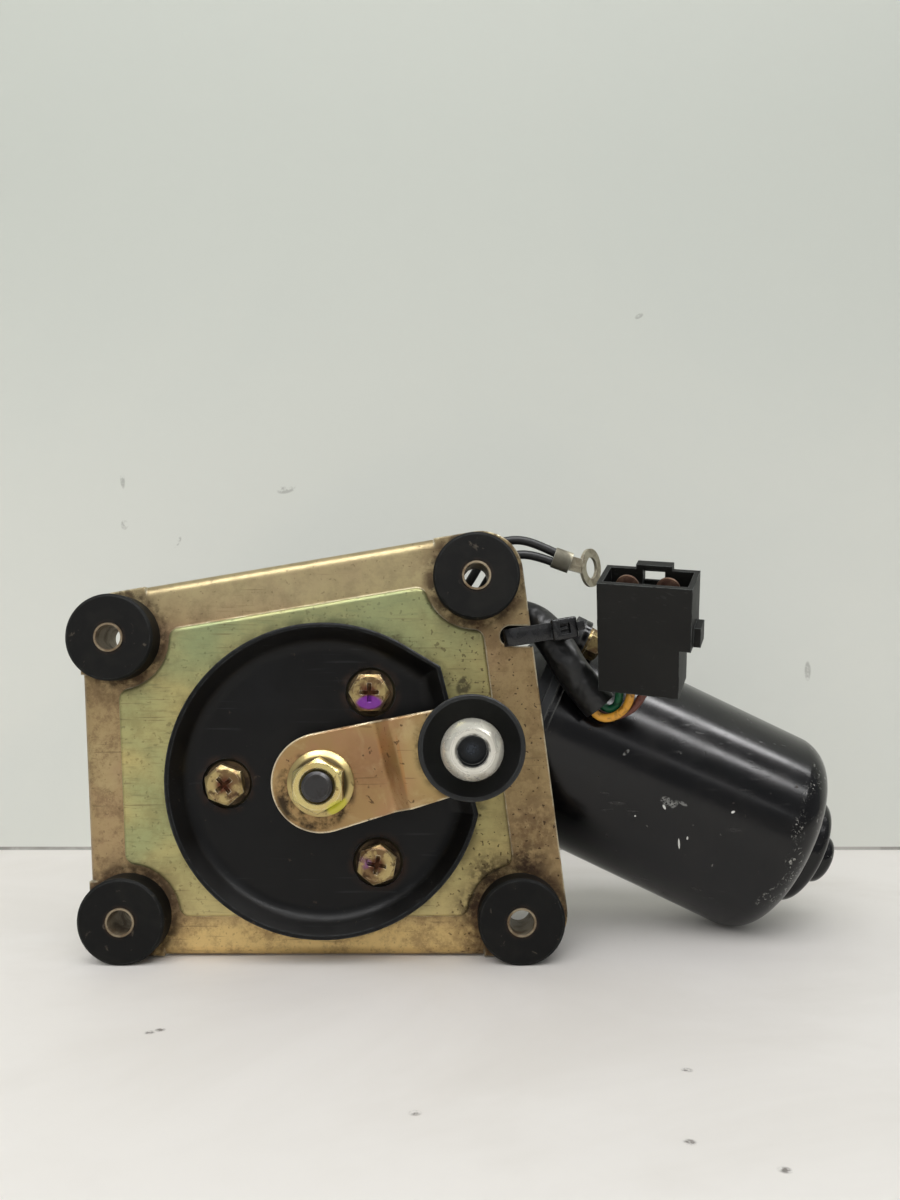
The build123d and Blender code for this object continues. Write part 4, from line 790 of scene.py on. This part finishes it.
class WIPER_OT_tie(bpy.types.Operator):
    """Cable tie through the plate's slot and round the sheath"""
    bl_idname = "wiper.tie"
    bl_label = "Cable tie"

    def execute(self, context):
        sizes = context.scene.wiper_tie
        leave_pieces_alone()
        strap = tie_strap(sizes)
        join_pieces(strap, tie_head(sizes), "cable_tie_strap")
        strap.location = place(*TIE_SLOT)
        strap.rotation_euler = (0, math.radians(TIE_TILT), 0)
        apply_place()
        bevel = strap.modifiers.new("soft_edges", "BEVEL")
        bevel.width, bevel.segments, bevel.limit_method = SOFT_EDGE, 2, "ANGLE"
        bpy.ops.object.modifier_apply(modifier=bevel.name)
        bpy.ops.object.shade_smooth_by_angle(angle=SMOOTH_ANGLE)
        give_material(strap, tie_finish())
        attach(strap, "motor")
        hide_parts("cable_tie")
        return {"FINISHED"}


# ---- connector blades ----------------------------------------------------------------------------
def connector_matrix():
    """From the connector's own right, up and out to the row's frame."""
    turned = Matrix.Translation(place(*CONNECTOR_CORNER)) @ Matrix.Rotation(math.radians(90), 4, "X")
    for axis, degrees in CONNECTOR_TURNS:
        turned = turned @ Matrix.Rotation(math.radians(degrees), 4, axis)
    return turned


def blades_finish():
    """Brown tarnished brass."""
    brass = Finish("blade_brass", tint(104, 80, 66), 0.5, metallic=0.6)
    brass.patches(tint(66, 42, 34), 300.0, 0.42, 0.64, 0.8, 0.6)
    brass.edges(tint(196, 160, 112), 0.6, 0.0003)
    return brass.grain(800.0, 0.02).done()


def round_topped_blade(sizes, middle, floor, depth):
    """A half disc with its flat side drawn down to the floor, in the connector's own right, up and out."""
    half = sizes.blade_width / 2
    shoulder = floor + sizes.blade_length - half
    top = (middle, shoulder, depth)
    bpy.ops.mesh.primitive_cylinder_add(vertices=40, radius=half, depth=sizes.blade_thickness, location=top)
    apply_place()
    edit_faces()
    bpy.ops.mesh.bisect(plane_co=top, plane_no=(0, 1, 0), use_fill=True, clear_inner=True)
    pick_faces(lambda face: face.normal.y < -0.99)
    extrude_by((0, floor - shoulder, 0))
    close_mesh()
    pick_faces(lambda face: abs(face.normal.z) > 0.99)
    bpy.ops.mesh.bevel(offset=SOFT_EDGE, segments=2, affect="EDGES")
    return leave_faces()


class WIPER_OT_blades(bpy.types.Operator):
    """Round-topped blades standing in the connector's mouth"""
    bl_idname = "wiper.blades"
    bl_label = "Connector blades"

    def execute(self, context):
        floor, depth, left, right = -0.0134, -0.0058, 0.0069, 0.0176
        leave_pieces_alone()
        blade = round_topped_blade(context.scene.wiper_blades, left, floor, depth)
        bpy.ops.object.duplicate_move(TRANSFORM_OT_translate={"value": (right - left, 0, 0)})
        apply_place()
        join_pieces(blade, context.object, "connector_blade_pair")
        blade.matrix_world = connector_matrix()
        apply_place()
        bpy.ops.object.shade_smooth_by_angle(angle=SMOOTH_ANGLE)
        give_material(blade, blades_finish())
        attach(blade, "motor")
        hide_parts("connector_blades")
        return {"FINISHED"}


# ---- finishes of the CAD nodes -------------------------------------------------------------------
def panel_colour(plate, olive):
    """Olive, green and gold zinc that drift over the raised panel."""
    tree = plate.tree
    streaks = add(tree, "Mapping", {"Vector": plate.coords, "Rotation": (0, 0.5, 0),
                                    "Scale": (1.0, 1.0, 7.0)}).outputs[0]
    layers = [
        (plate.blotches(16.0, 0.4, 0.64, 4.0), 1.0, tint(196, 176, 116)),
        (plate.blotches(22.0, 0.45, 0.66, 3.0, 0.5, 0.8), 0.8, tint(150, 158, 112)),
        (plate.blotches(140.0, 0.4, 0.66, 6.0, 0.75), 0.45, tint(132, 122, 78)),
        (blotches(tree, streaks, 150.0, 0.5, 0.72, 5.0, 0.7), 0.45, tint(104, 104, 72)),
        (plate.eased("up", -14, -42), 0.45, tint(204, 184, 132)),
        (plate.times(plate.eased("up", 14, 50), plate.eased("right", 44, 4, 0.3, 1.0)), 0.6,
         tint(132, 150, 112)),
    ]
    for mask, strength, colour in layers:
        olive = blend_colour(tree, plate.times(mask, strength), olive, colour)
    return olive


def add_plate_dirt_and_shade(plate):
    """Oily dirt round the grommets, the seal and the screws, more of it towards the lower right, with painted
    shade mixed into the rings round the grommets.
    """
    # Painted shade mixed with oily dirt: a dark line close round each grommet, and a wider ragged ring.
    plate.near(GROMMETS, 12.8, 15.6, tint(40, 28, 20), 0.8, 0.75, 300.0)
    plate.near(GROMMETS, 12.0, 22.0, tint(84, 62, 42), 0.55, 0.7, 170.0)
    plate.near(SHAFT_END, 43.0, 47.0, tint(70, 62, 42), 0.6, 0.6)
    plate.near(SCREWS, 9.0, 10.5, tint(30, 22, 16), 0.92, 0.7, 0)
    plate.near([(56, -24), (46, -27), (42, -36)], 0.0, 9.5, tint(46, 31, 22), 0.9, 0.7, 520.0)
    plate.near([(58, -14), (44, -46)], 2.0, 14.0, tint(84, 60, 40), 0.6, 0.7, 420.0)
    plate.spots([((38.6, 26.0), (3.4, 2.4), 60.0)], tint(40, 34, 26), 0.8, 0.7, 300.0)
    plate.scratches(tint(110, 92, 64), 50.0, 0.5)
    specks = plate.times(plate.blotches(800.0, 0.66, 0.71, 1.0), plate.eased("right", 10, 60, 0.35, 1.0))
    plate.over(specks, tint(62, 44, 30), 0.85, 0.75)


def plate_finish(colours):
    """Yellow zinc: a tan rim, paler at its top, with painted light on its bottom and painted highlights along
    its edges, round an olive panel.
    """
    plate = Finish("yellow_zinc_plate", tuple(colours.zinc_tan), 0.36, metallic=0.65)
    plate.patches(tint(160, 128, 102), 26.0, 0.42, 0.7, 0.6)
    plate.patches(tint(182, 166, 122), 60.0, 0.5, 0.72, 0.5)
    # Painted light: the rim's bottom is made paler.
    plate.over(plate.eased("up", -36, -44), tint(222, 190, 124), 0.7)
    plate.over(plate.blotches(190.0, 0.42, 0.66, 6.0, 0.8), tint(108, 84, 58), 0.62)
    plate.over(plate.eased("up", 36, 54), tint(176, 168, 128), 0.45)
    plate.over(plate.eased("out", PANEL_FOOT, PANEL_FACE), panel_colour(plate, tuple(colours.zinc_olive)))
    plate.over(plate.eased("right", 18, 60), tint(122, 100, 64), 0.42)
    # Painted highlight: bright cream along the plate's edges and the panel's shoulder.
    plate.edges(tint(232, 224, 194), 1.5, 0.0009, 0.34, 160.0)
    add_plate_dirt_and_shade(plate)
    return plate.rounded(0.9).uneven_gloss(0.09).grain(500.0, 0.02).done()


class WIPER_OT_bracket(bpy.types.Operator):
    """Yellow zinc on the bracket plate, with dirt and wear"""
    bl_idname = "wiper.bracket"
    bl_label = "Bracket plate"

    def execute(self, context):
        coat_nodes(plate_finish(context.scene.wiper_colours), "bracket_plate")
        return {"FINISHED"}


def grommet_finish(colour):
    """Dull rubber with painted highlights on its edges, stained round the bores."""
    grommet = Finish("grommet_rubber", colour, 0.6, specular=0.18)
    grommet.patches(tint(24, 23, 19), 130.0, 0.42, 0.72, 0.5)
    # Painted highlight: lighter grey along the grommets' edges.
    grommet.edges(tint(84, 86, 84), 0.5, 0.0006)
    grommet.patches(tint(96, 88, 76), 300.0, 0.64, 0.72, 0.45, 0.8)
    grommet.near(GROMMETS, 3.6, 5.2, tint(62, 46, 34), 0.5, 0.7, 420.0)
    return grommet.rounded(0.8).uneven_gloss(0.1).grain(650.0, 0.05).done()


def seal_finish():
    """Smooth rubber with dust, a stain round each screw, and painted highlights along its rims."""
    seal = Finish("seal_rubber", tint(6, 6, 6), 0.33, specular=0.22)
    seal.patches(tint(11, 12, 13), 28.0, 0.42, 0.7, 0.7, 0.46)
    seal.near(SCREWS, 7.0, 9.4, tint(44, 28, 18), 0.7, 0.7, 300.0)
    # Painted highlight: a light line along the seal's rims.
    seal.edges(tint(62, 66, 68), 0.9, 0.0006)
    seal.near(SHAFT_END, 9.0, 30.0, tint(18, 17, 14), 0.5, 0.55)
    seal.patches(tint(70, 60, 48), 420.0, 0.68, 0.73, 0.5, 0.8)
    seal.scratches(tint(46, 47, 48), 40.0, 0.3)
    return seal.rounded(0.8).uneven_gloss(0.12).grain(380.0, 0.05).done()


def boot_finish():
    """Clean soft rubber with painted highlights along its edges."""
    boot = Finish("boot_rubber", tint(9, 10, 10), 0.45, specular=0.45)
    boot.patches(tint(18, 19, 20), 90.0, 0.45, 0.7, 0.6)
    # Painted highlight: light grey along the boot's edges.
    boot.edges(tint(92, 98, 102), 0.55, 0.0006)
    return boot.rounded(0.5).uneven_gloss(0.12).grain(500.0, 0.04).done()


class WIPER_OT_rubber(bpy.types.Operator):
    """Rubber grommets, shaft seal, boot and cable plug"""
    bl_idname = "wiper.rubber"
    bl_label = "Rubber pieces"

    def execute(self, context):
        colours = context.scene.wiper_colours
        coat_nodes(grommet_finish(tuple(colours.rubber_black)), "grommet_tl", "grommet_tr", "grommet_bl",
                   "grommet_br", "cable_grommet", "cover_gasket")
        coat_nodes(seal_finish(), "shaft_seal")
        coat_nodes(boot_finish(), "ball_boot")
        return {"FINISHED"}


def arm_finish(colour):
    """Yellow zinc with painted highlights on its edges, a painted pool of light right of the joggle and
    painted shade along its bend, dirt with a painted shadow round the nut, and dark marks by the boot.
    """
    arm = Finish("yellow_zinc_arm", colour, 0.34, metallic=0.7)
    arm.patches(tint(164, 122, 90), 60.0, 0.42, 0.66, 0.65)
    arm.patches(tint(204, 186, 138), 110.0, 0.5, 0.74, 0.5)
    # Painted light: a pale pool right of the joggle.
    arm.near([(33.0, 8.5)], 6.0, 15.0, tint(190, 168, 112), 0.7, 0.3, 0)
    arm.near([(11.0, 3.0)], 4.0, 13.0, tint(138, 102, 70), 0.6, 0.42, 90.0)
    # Painted highlight: bright cream along the arm's edges.
    arm.edges(tint(252, 240, 208), 2.4, 0.0010, 0.3, 90.0)
    # Painted shade along the joggle's bend.
    arm.spots([((21.9, 5.2), (0.6, 9.5), 10.0)], tint(160, 112, 62), 0.5, 0.4)
    arm.spots([((33.2, 3.6), (0.5, 5.4), 20.0)], tint(60, 42, 26), 0.75, 0.7, 420.0)
    # Painted shadow of the nut's flange, mixed with dirt, to its lower left.
    arm.near([(-1.6, -2.2)], 9.6, 11.6, tint(30, 22, 15), 0.92, 0.5, 260.0)
    arm.near(BALL, 13.5, 16.5, tint(48, 38, 26), 0.75, 0.7, 260.0)
    arm.patches(tint(84, 60, 40), 380.0, 0.63, 0.68, 0.8, 0.7)
    arm.scratches(tint(110, 82, 54), 60.0, 0.6)
    return arm.rounded(1.1).uneven_gloss(0.1).grain(420.0, 0.02).done()


def nut_finish():
    """Bright zinc with painted highlights on its edges, painted shade on the hex's sides, dirt and painted
    shade in the groove at the hex's foot, and a dab of yellow paint.
    """
    nut = Finish("yellow_zinc_nut", tint(206, 190, 128), 0.22, metallic=0.9)
    nut.patches(tint(198, 164, 104), 110.0, 0.45, 0.68, 0.5)
    # Painted highlight: bright edges on the nut.
    nut.edges(tint(250, 242, 210), 1.6, 0.0006, 0.25)
    # Painted shade: the hex's sides, below its top face, are darkened.
    nut.over(nut.eased("out", NUT_BASE + 7.2, NUT_BASE + 6.8), tint(126, 102, 60), 0.8, 0.3)
    # The flange gets back the bright zinc, clear of the painted shade on the sides.
    flange = nut.eased("out", NUT_BASE + 3.0, NUT_BASE + 2.6)
    nut.over(flange, tint(206, 186, 128), 0.85, 0.3)
    # Dirt and painted shade in the crevice at the hex's foot.
    groove = near(nut.tree, nut.coords, SHAFT_END, 7.0, 8.1)
    nut.over(nut.times(flange, groove), tint(38, 28, 18), 0.9, 0.6)
    nut.near(SHAFT_END, 3.6, 5.0, tint(44, 36, 24), 0.8, 0.6, 300.0)
    nut.spots([((4.6, -6.0), (3.6, 2.2), 40.0)], tint(206, 206, 40), 0.6, 0.25)
    nut.patches(tint(96, 74, 44), 300.0, 0.64, 0.7, 0.6, 0.6)
    return nut.rounded(0.5).uneven_gloss(0.1).grain(500.0, 0.015).done()


def screw_finish():
    """Tarnished zinc with painted highlights on its edges, rusty in the recess, with violet paint marks."""
    screw = Finish("yellow_zinc_screw", tint(176, 156, 106), 0.3, metallic=0.8)
    screw.patches(tint(96, 66, 46), 240.0, 0.42, 0.6, 0.8)
    # Painted highlight: bright edges on the screw heads.
    screw.edges(tint(240, 226, 190), 1.6, 0.0005, 0.3)
    screw.near(SCREWS, 5.7, 5.0, tint(60, 42, 26), 0.6, 0.7, 500.0)
    screw.near(SCREWS, 1.2, 3.2, tint(84, 38, 24), 0.9, 0.7, 0)
    screw.spots([((12.6, 21.4), (4.2, 2.3), 0.0)], tint(118, 44, 150), 0.92, 0.5)
    screw.near([(11.4, -22.4)], 0.8, 2.2, tint(122, 52, 142), 0.8, 0.5, 300.0)
    screw.patches(tint(70, 48, 32), 400.0, 0.54, 0.66, 0.8, 0.7)
    return screw.rounded(0.4).grain(600.0, 0.03).done()


def washer_finish():
    """Dark tarnished zinc."""
    washer = Finish("zinc_washer", tint(92, 76, 54), 0.5, metallic=0.7)
    washer.patches(tint(44, 32, 24), 260.0, 0.38, 0.62, 0.9, 0.7)
    washer.edges(tint(110, 92, 66), 0.4, 0.0003)
    return washer.grain(500.0, 0.02).done()


def shaft_finish():
    """Dark ground steel."""
    shaft = Finish("dark_shaft_steel", tint(92, 92, 94), 0.42, metallic=0.95)
    shaft.near(SHAFT_END, 2.8, 4.2, tint(52, 50, 48), 0.7, 0.5, 0)
    shaft.patches(tint(48, 44, 40), 300.0, 0.45, 0.66, 0.7, 0.55)
    shaft.edges(tint(150, 148, 142), 0.6, 0.0004)
    return shaft.grain(400.0, 0.03).done()


def ball_finish(colour):
    """Satin coating, with a painted highlight and painted shade in rings round a dark socket in the ball's
    end.
    """
    ball = Finish("ball_coating", colour, 0.26, metallic=0.5, specular=0.6)
    ball.patches(tint(176, 170, 154), 160.0, 0.44, 0.7, 0.5, 0.36)
    # Painted highlight: a bright ring round the socket's rim.
    ball.near(BALL, 4.9, 5.3, tint(214, 211, 200), 0.7, 0.3, 0)
    # Painted shade: a dark ring inside it.
    ball.near(BALL, 4.3, 4.6, tint(84, 80, 72), 0.9, 0.5, 300.0)
    ball.near(BALL, 3.9, 4.2, tint(14, 18, 21), 1.0, 0.25, 0)
    ball.near(BALL, 0.4, 2.6, tint(64, 72, 82), 0.7, 0.3, 520.0)
    ball.patches(tint(120, 106, 84), 420.0, 0.66, 0.72, 0.6, 0.7)
    ball.edges(tint(226, 224, 216), 0.4, 0.0004)
    return ball.grain(700.0, 0.015).done()


class WIPER_OT_crank(bpy.types.Operator):
    """Crank arm, nut, shaft end, ball stud and bracket screws"""
    bl_idname = "wiper.crank"
    bl_label = "Crank and fasteners"

    def execute(self, context):
        colours = context.scene.wiper_colours
        coat_nodes(arm_finish(tuple(colours.arm_gold)), "crank_arm")
        coat_nodes(nut_finish(), "crank_nut")
        coat_nodes(screw_finish(), "bracket_screws", "yoke_screws", "yoke_washers")
        coat_nodes(washer_finish(), "flat_washers", "spring_washers")
        coat_nodes(shaft_finish(), "output_shaft", "shaft_clip", "thrust_washer")
        coat_nodes(ball_finish(tuple(colours.ball_grey)), "ball_stud")
        return {"FINISHED"}


def can_finish(colour):
    """Gloss black paint, chipped round its far rim and in a few spots, with painted highlights along its
    edges.
    """
    can = Finish("gloss_black_can", colour, 0.18, specular=0.37)
    can.patches(tint(20, 18, 16), 55.0, 0.42, 0.7, 0.7, 0.23)
    # Painted highlight: a light line along the can's edges.
    can.edges(tint(120, 120, 116), 0.35, 0.0012, 0.5, 260.0)
    can.patches(tint(58, 48, 40), 300.0, 0.69, 0.72, 0.5, 0.8)
    chips = can.blotches(760.0, 0.58, 0.62, 5.0, 0.75, 1.2)
    rim = can.times(motor_ring(can.tree, can.coords, *CAN_RIM), can.blotches(90.0, 0.46, 0.62))
    can.over(can.times(chips, rim), tint(186, 184, 176), 0.85, 0.6)
    can.over(can.blotches(520.0, 0.71, 0.73, 4.0, 0.7, 0.8), tint(140, 138, 132), 0.7, 0.6)
    scuffs = [((97.4, -7.6), (2.4, 1.5), -30.0), ((99.4, -8.4), (1.8, 1.0), 40.0),
              ((102.0, -8.2), (1.6, 0.6), -25.0), ((85.6, 6.6), (1.4, 0.6), 40.0)]
    can.spots(scuffs, tint(124, 124, 120), 0.7, 0.6, 1400.0)
    nicks = [((101.4, -20.2), (0.3, 1.9), 8.0), ((103.6, -18.4), (0.3, 0.6), 0.0),
             ((116.4, -10.6), (0.7, 0.4), 20.0), ((96.6, -9.2), (0.4, 0.9), 30.0),
             ((88.5, -12.0), (0.3, 0.3), 0.0)]
    can.spots(nicks, tint(206, 206, 200), 0.85, 0.6)
    can.scratches(tint(62, 60, 58), 30.0, 0.25, 0.5)
    return can.uneven_gloss(0.06, 90.0).grain(150.0, 0.016).grain(700.0, 0.008).done()


def cast_finish():
    """Dark die-cast alloy with a rough skin."""
    cast = Finish("die_cast_housing", tint(44, 45, 46), 0.5, metallic=0.5)
    cast.patches(tint(44, 44, 44), 60.0, 0.4, 0.66, 0.8, 0.6)
    cast.patches(tint(50, 42, 34), 140.0, 0.58, 0.72, 0.7, 0.8)
    cast.edges(tint(104, 104, 102), 0.5, 0.0006)
    return cast.grain(420.0, 0.07).uneven_gloss(0.08).done()


def cover_finish():
    """Bare steel with brown stains and scratches."""
    cover = Finish("cover_steel", tint(168, 166, 160), 0.4, metallic=0.9)
    cover.patches(tint(134, 128, 112), 50.0, 0.42, 0.7, 0.7)
    cover.patches(tint(92, 72, 50), 190.0, 0.62, 0.72, 0.6, 0.75)
    cover.edges(tint(222, 220, 212), 0.6, 0.0007)
    cover.scratches(tint(206, 204, 198), 36.0, 0.5)
    return cover.uneven_gloss(0.08).grain(400.0, 0.015).done()


class WIPER_OT_motor(bpy.types.Operator):
    """Gloss black can, die-cast gear housing and its steel cover"""
    bl_idname = "wiper.motor"
    bl_label = "Motor and gear housing"

    def execute(self, context):
        colours = context.scene.wiper_colours
        coat_nodes(can_finish(tuple(colours.can_black)), "motor_yoke")
        coat_nodes(cast_finish(), "gear_housing")
        coat_nodes(cover_finish(), "gear_cover")
        return {"FINISHED"}


def sleeve_finish():
    """Stained steel, brown at its rims."""
    sleeve = Finish("sleeve_steel", tint(150, 138, 116), 0.5, metallic=0.8)
    sleeve.patches(tint(96, 76, 54), 170.0, 0.4, 0.66, 0.8, 0.7)
    sleeve.edges(tint(92, 72, 50), 0.8, 0.0005)
    return sleeve.grain(600.0, 0.03).done()


def zinc_finish():
    """Bright zinc on small steel pieces."""
    zinc = Finish("zinc_small_steel", tint(172, 170, 164), 0.38, metallic=0.9)
    zinc.patches(tint(128, 118, 98), 180.0, 0.45, 0.7, 0.7, 0.55)
    zinc.edges(tint(226, 224, 216), 0.6, 0.0004)
    return zinc.grain(600.0, 0.015).done()


def tinned_finish():
    """Tinned brass, darker on the crimp with soiling and painted shade."""
    tinned = Finish("tinned_terminal", tint(168, 162, 142), 0.45, metallic=0.7)
    tinned.patches(tint(120, 110, 90), 260.0, 0.42, 0.66, 0.8, 0.6)
    # Darker crimp: soiling and painted shade.
    tinned.near(CRIMP, 3.6, 4.8, tint(84, 82, 72), 0.85, 0.6, 0)
    tinned.edges(tint(232, 230, 220), 0.6, 0.0003)
    return tinned.grain(800.0, 0.02).done()


class WIPER_OT_sleeves(bpy.types.Operator):
    """Sleeves, small zinc pieces and the earth terminal"""
    bl_idname = "wiper.sleeves"
    bl_label = "Sleeves and small steel"

    def execute(self, context):
        coat_nodes(sleeve_finish(), "sleeve_tl", "sleeve_tr", "sleeve_bl", "sleeve_br")
        coat_nodes(zinc_finish(), "cover_screws", "thrust_screw", "thrust_lock_nut")
        coat_nodes(tinned_finish(), "earth_terminal")
        return {"FINISHED"}


def shell_finish():
    """Black moulded plastic."""
    shell = Finish("connector_plastic", tint(14, 14, 12), 0.5, specular=0.25)
    shell.patches(tint(24, 24, 22), 70.0, 0.42, 0.7, 0.5, 0.6)
    shell.edges(tint(96, 100, 98), 1.0, 0.0004)
    shell.patches(tint(70, 66, 58), 420.0, 0.69, 0.73, 0.5, 0.8)
    shell.scratches(tint(54, 55, 54), 40.0, 0.3)
    return shell.rounded(0.4).grain(900.0, 0.03).uneven_gloss(0.06).done()


class WIPER_OT_connector(bpy.types.Operator):
    """Connector shell"""
    bl_idname = "wiper.connector"
    bl_label = "Connector"

    def execute(self, context):
        coat_nodes(shell_finish(), "connector_housing")
        return {"FINISHED"}


class WIPER_OT_inner_pieces(bpy.types.Operator):
    """Gear, bushes, armature, magnets, brushes and contacts"""
    bl_idname = "wiper.inner_pieces"
    bl_label = "Inner pieces"

    def execute(self, context):
        looks = {
            "wheel_plastic": (tint(206, 200, 180), tint(180, 168, 138), 0.5, 0.0, ["worm_wheel"]),
            "sintered_bronze": (tint(150, 112, 70), tint(112, 82, 52), 0.5, 0.85,
                                ["front_bush", "rear_bush", "worm_end_bush", "middle_bush", "tail_bush"]),
            "bright_brass": (tint(196, 162, 92), tint(160, 122, 66), 0.34, 0.95,
                             ["park_disc", "park_contacts", "brush_springs"]),
            "bare_copper": (tint(186, 112, 74), tint(132, 70, 44), 0.36, 0.9,
                            ["armature_windings", "commutator"]),
            "grey_ferrite": (tint(58, 58, 60), tint(76, 76, 76), 0.7, 0.0, ["magnets"]),
            "laminated_steel": (tint(118, 118, 120), tint(88, 84, 80), 0.5, 0.85, ["armature_core"]),
            "ground_steel": (tint(160, 160, 162), tint(124, 122, 118), 0.3, 0.95,
                             ["armature_shaft", "bush_retainer", "thrust_ball"]),
            "pressed_board": (tint(104, 66, 40), tint(78, 48, 30), 0.7, 0.0,
                              ["contact_plate", "brush_holder"]),
            "brush_carbon": (tint(40, 40, 42), tint(58, 58, 60), 0.6, 0.0, ["brushes"]),
        }
        for name, (colour, second, roughness, metallic, nodes) in looks.items():
            finish = Finish(name, colour, roughness, metallic)
            finish.patches(second, 120.0, 0.42, 0.68, 0.7)
            finish.edges(tint(226, 222, 208), 0.4, 0.0004)
            finish.patches(tint(52, 42, 32), 260.0, 0.62, 0.72, 0.5, 0.7)
            finish.uneven_gloss(0.06).grain(500.0, 0.02)
            coat_nodes(finish.done(), *nodes)
        return {"FINISHED"}


# ---- panel and running order ---------------------------------------------------------------------
STEPS = [WIPER_OT_stage, WIPER_OT_blades, WIPER_OT_lead, WIPER_OT_earth_wires, WIPER_OT_tie, WIPER_OT_bracket,
         WIPER_OT_rubber, WIPER_OT_crank, WIPER_OT_motor, WIPER_OT_sleeves, WIPER_OT_connector,
         WIPER_OT_inner_pieces]
SETTINGS = {"wiper_lead": WiperLeadSettings, "wiper_tie": WiperTieSettings,
            "wiper_blades": WiperBladeSettings, "wiper_colours": WiperColourSettings,
            "wiper_stage": WiperStageSettings}


class WIPER_PT_dressing(bpy.types.Panel):
    """Pieces and finishes of the wiper motor"""
    bl_label = "Wiper Motor"
    bl_idname = "WIPER_PT_dressing"
    bl_space_type = "VIEW_3D"
    bl_region_type = "UI"
    bl_category = "Wiper Motor"

    def draw(self, context):
        for name, settings in SETTINGS.items():
            box = self.layout.box()
            box.label(text=settings.__doc__)
            for key in settings.__annotations__:
                box.prop(getattr(context.scene, name), key)
        for step in STEPS:
            self.layout.operator(step.bl_idname)


def register():
    """Add the settings, the operators and the panel."""
    for cls in (*SETTINGS.values(), *STEPS, WIPER_PT_dressing):
        bpy.utils.register_class(cls)
    for name, cls in SETTINGS.items():
        setattr(bpy.types.Scene, name, bpy.props.PointerProperty(type=cls))


def unregister():
    """Take them away again."""
    for name in SETTINGS:
        delattr(bpy.types.Scene, name)
    for cls in reversed((*SETTINGS.values(), *STEPS, WIPER_PT_dressing)):
        bpy.utils.unregister_class(cls)


def write_sizes():
    """Work out the CAD box and the dressed model's box."""
    boxes = {"cad": CAD_BOX, "visual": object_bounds()}
    plain = {name: [list(map(float, corner)) for corner in box] for name, box in boxes.items()}


def main():
    """Dress the packed motor, one operator at a time."""
    register()
    for step in STEPS:
        area, name = step.bl_idname.split(".")
        getattr(getattr(bpy.ops, area), name)()
    write_sizes()


if __name__ == "__main__":
    main()
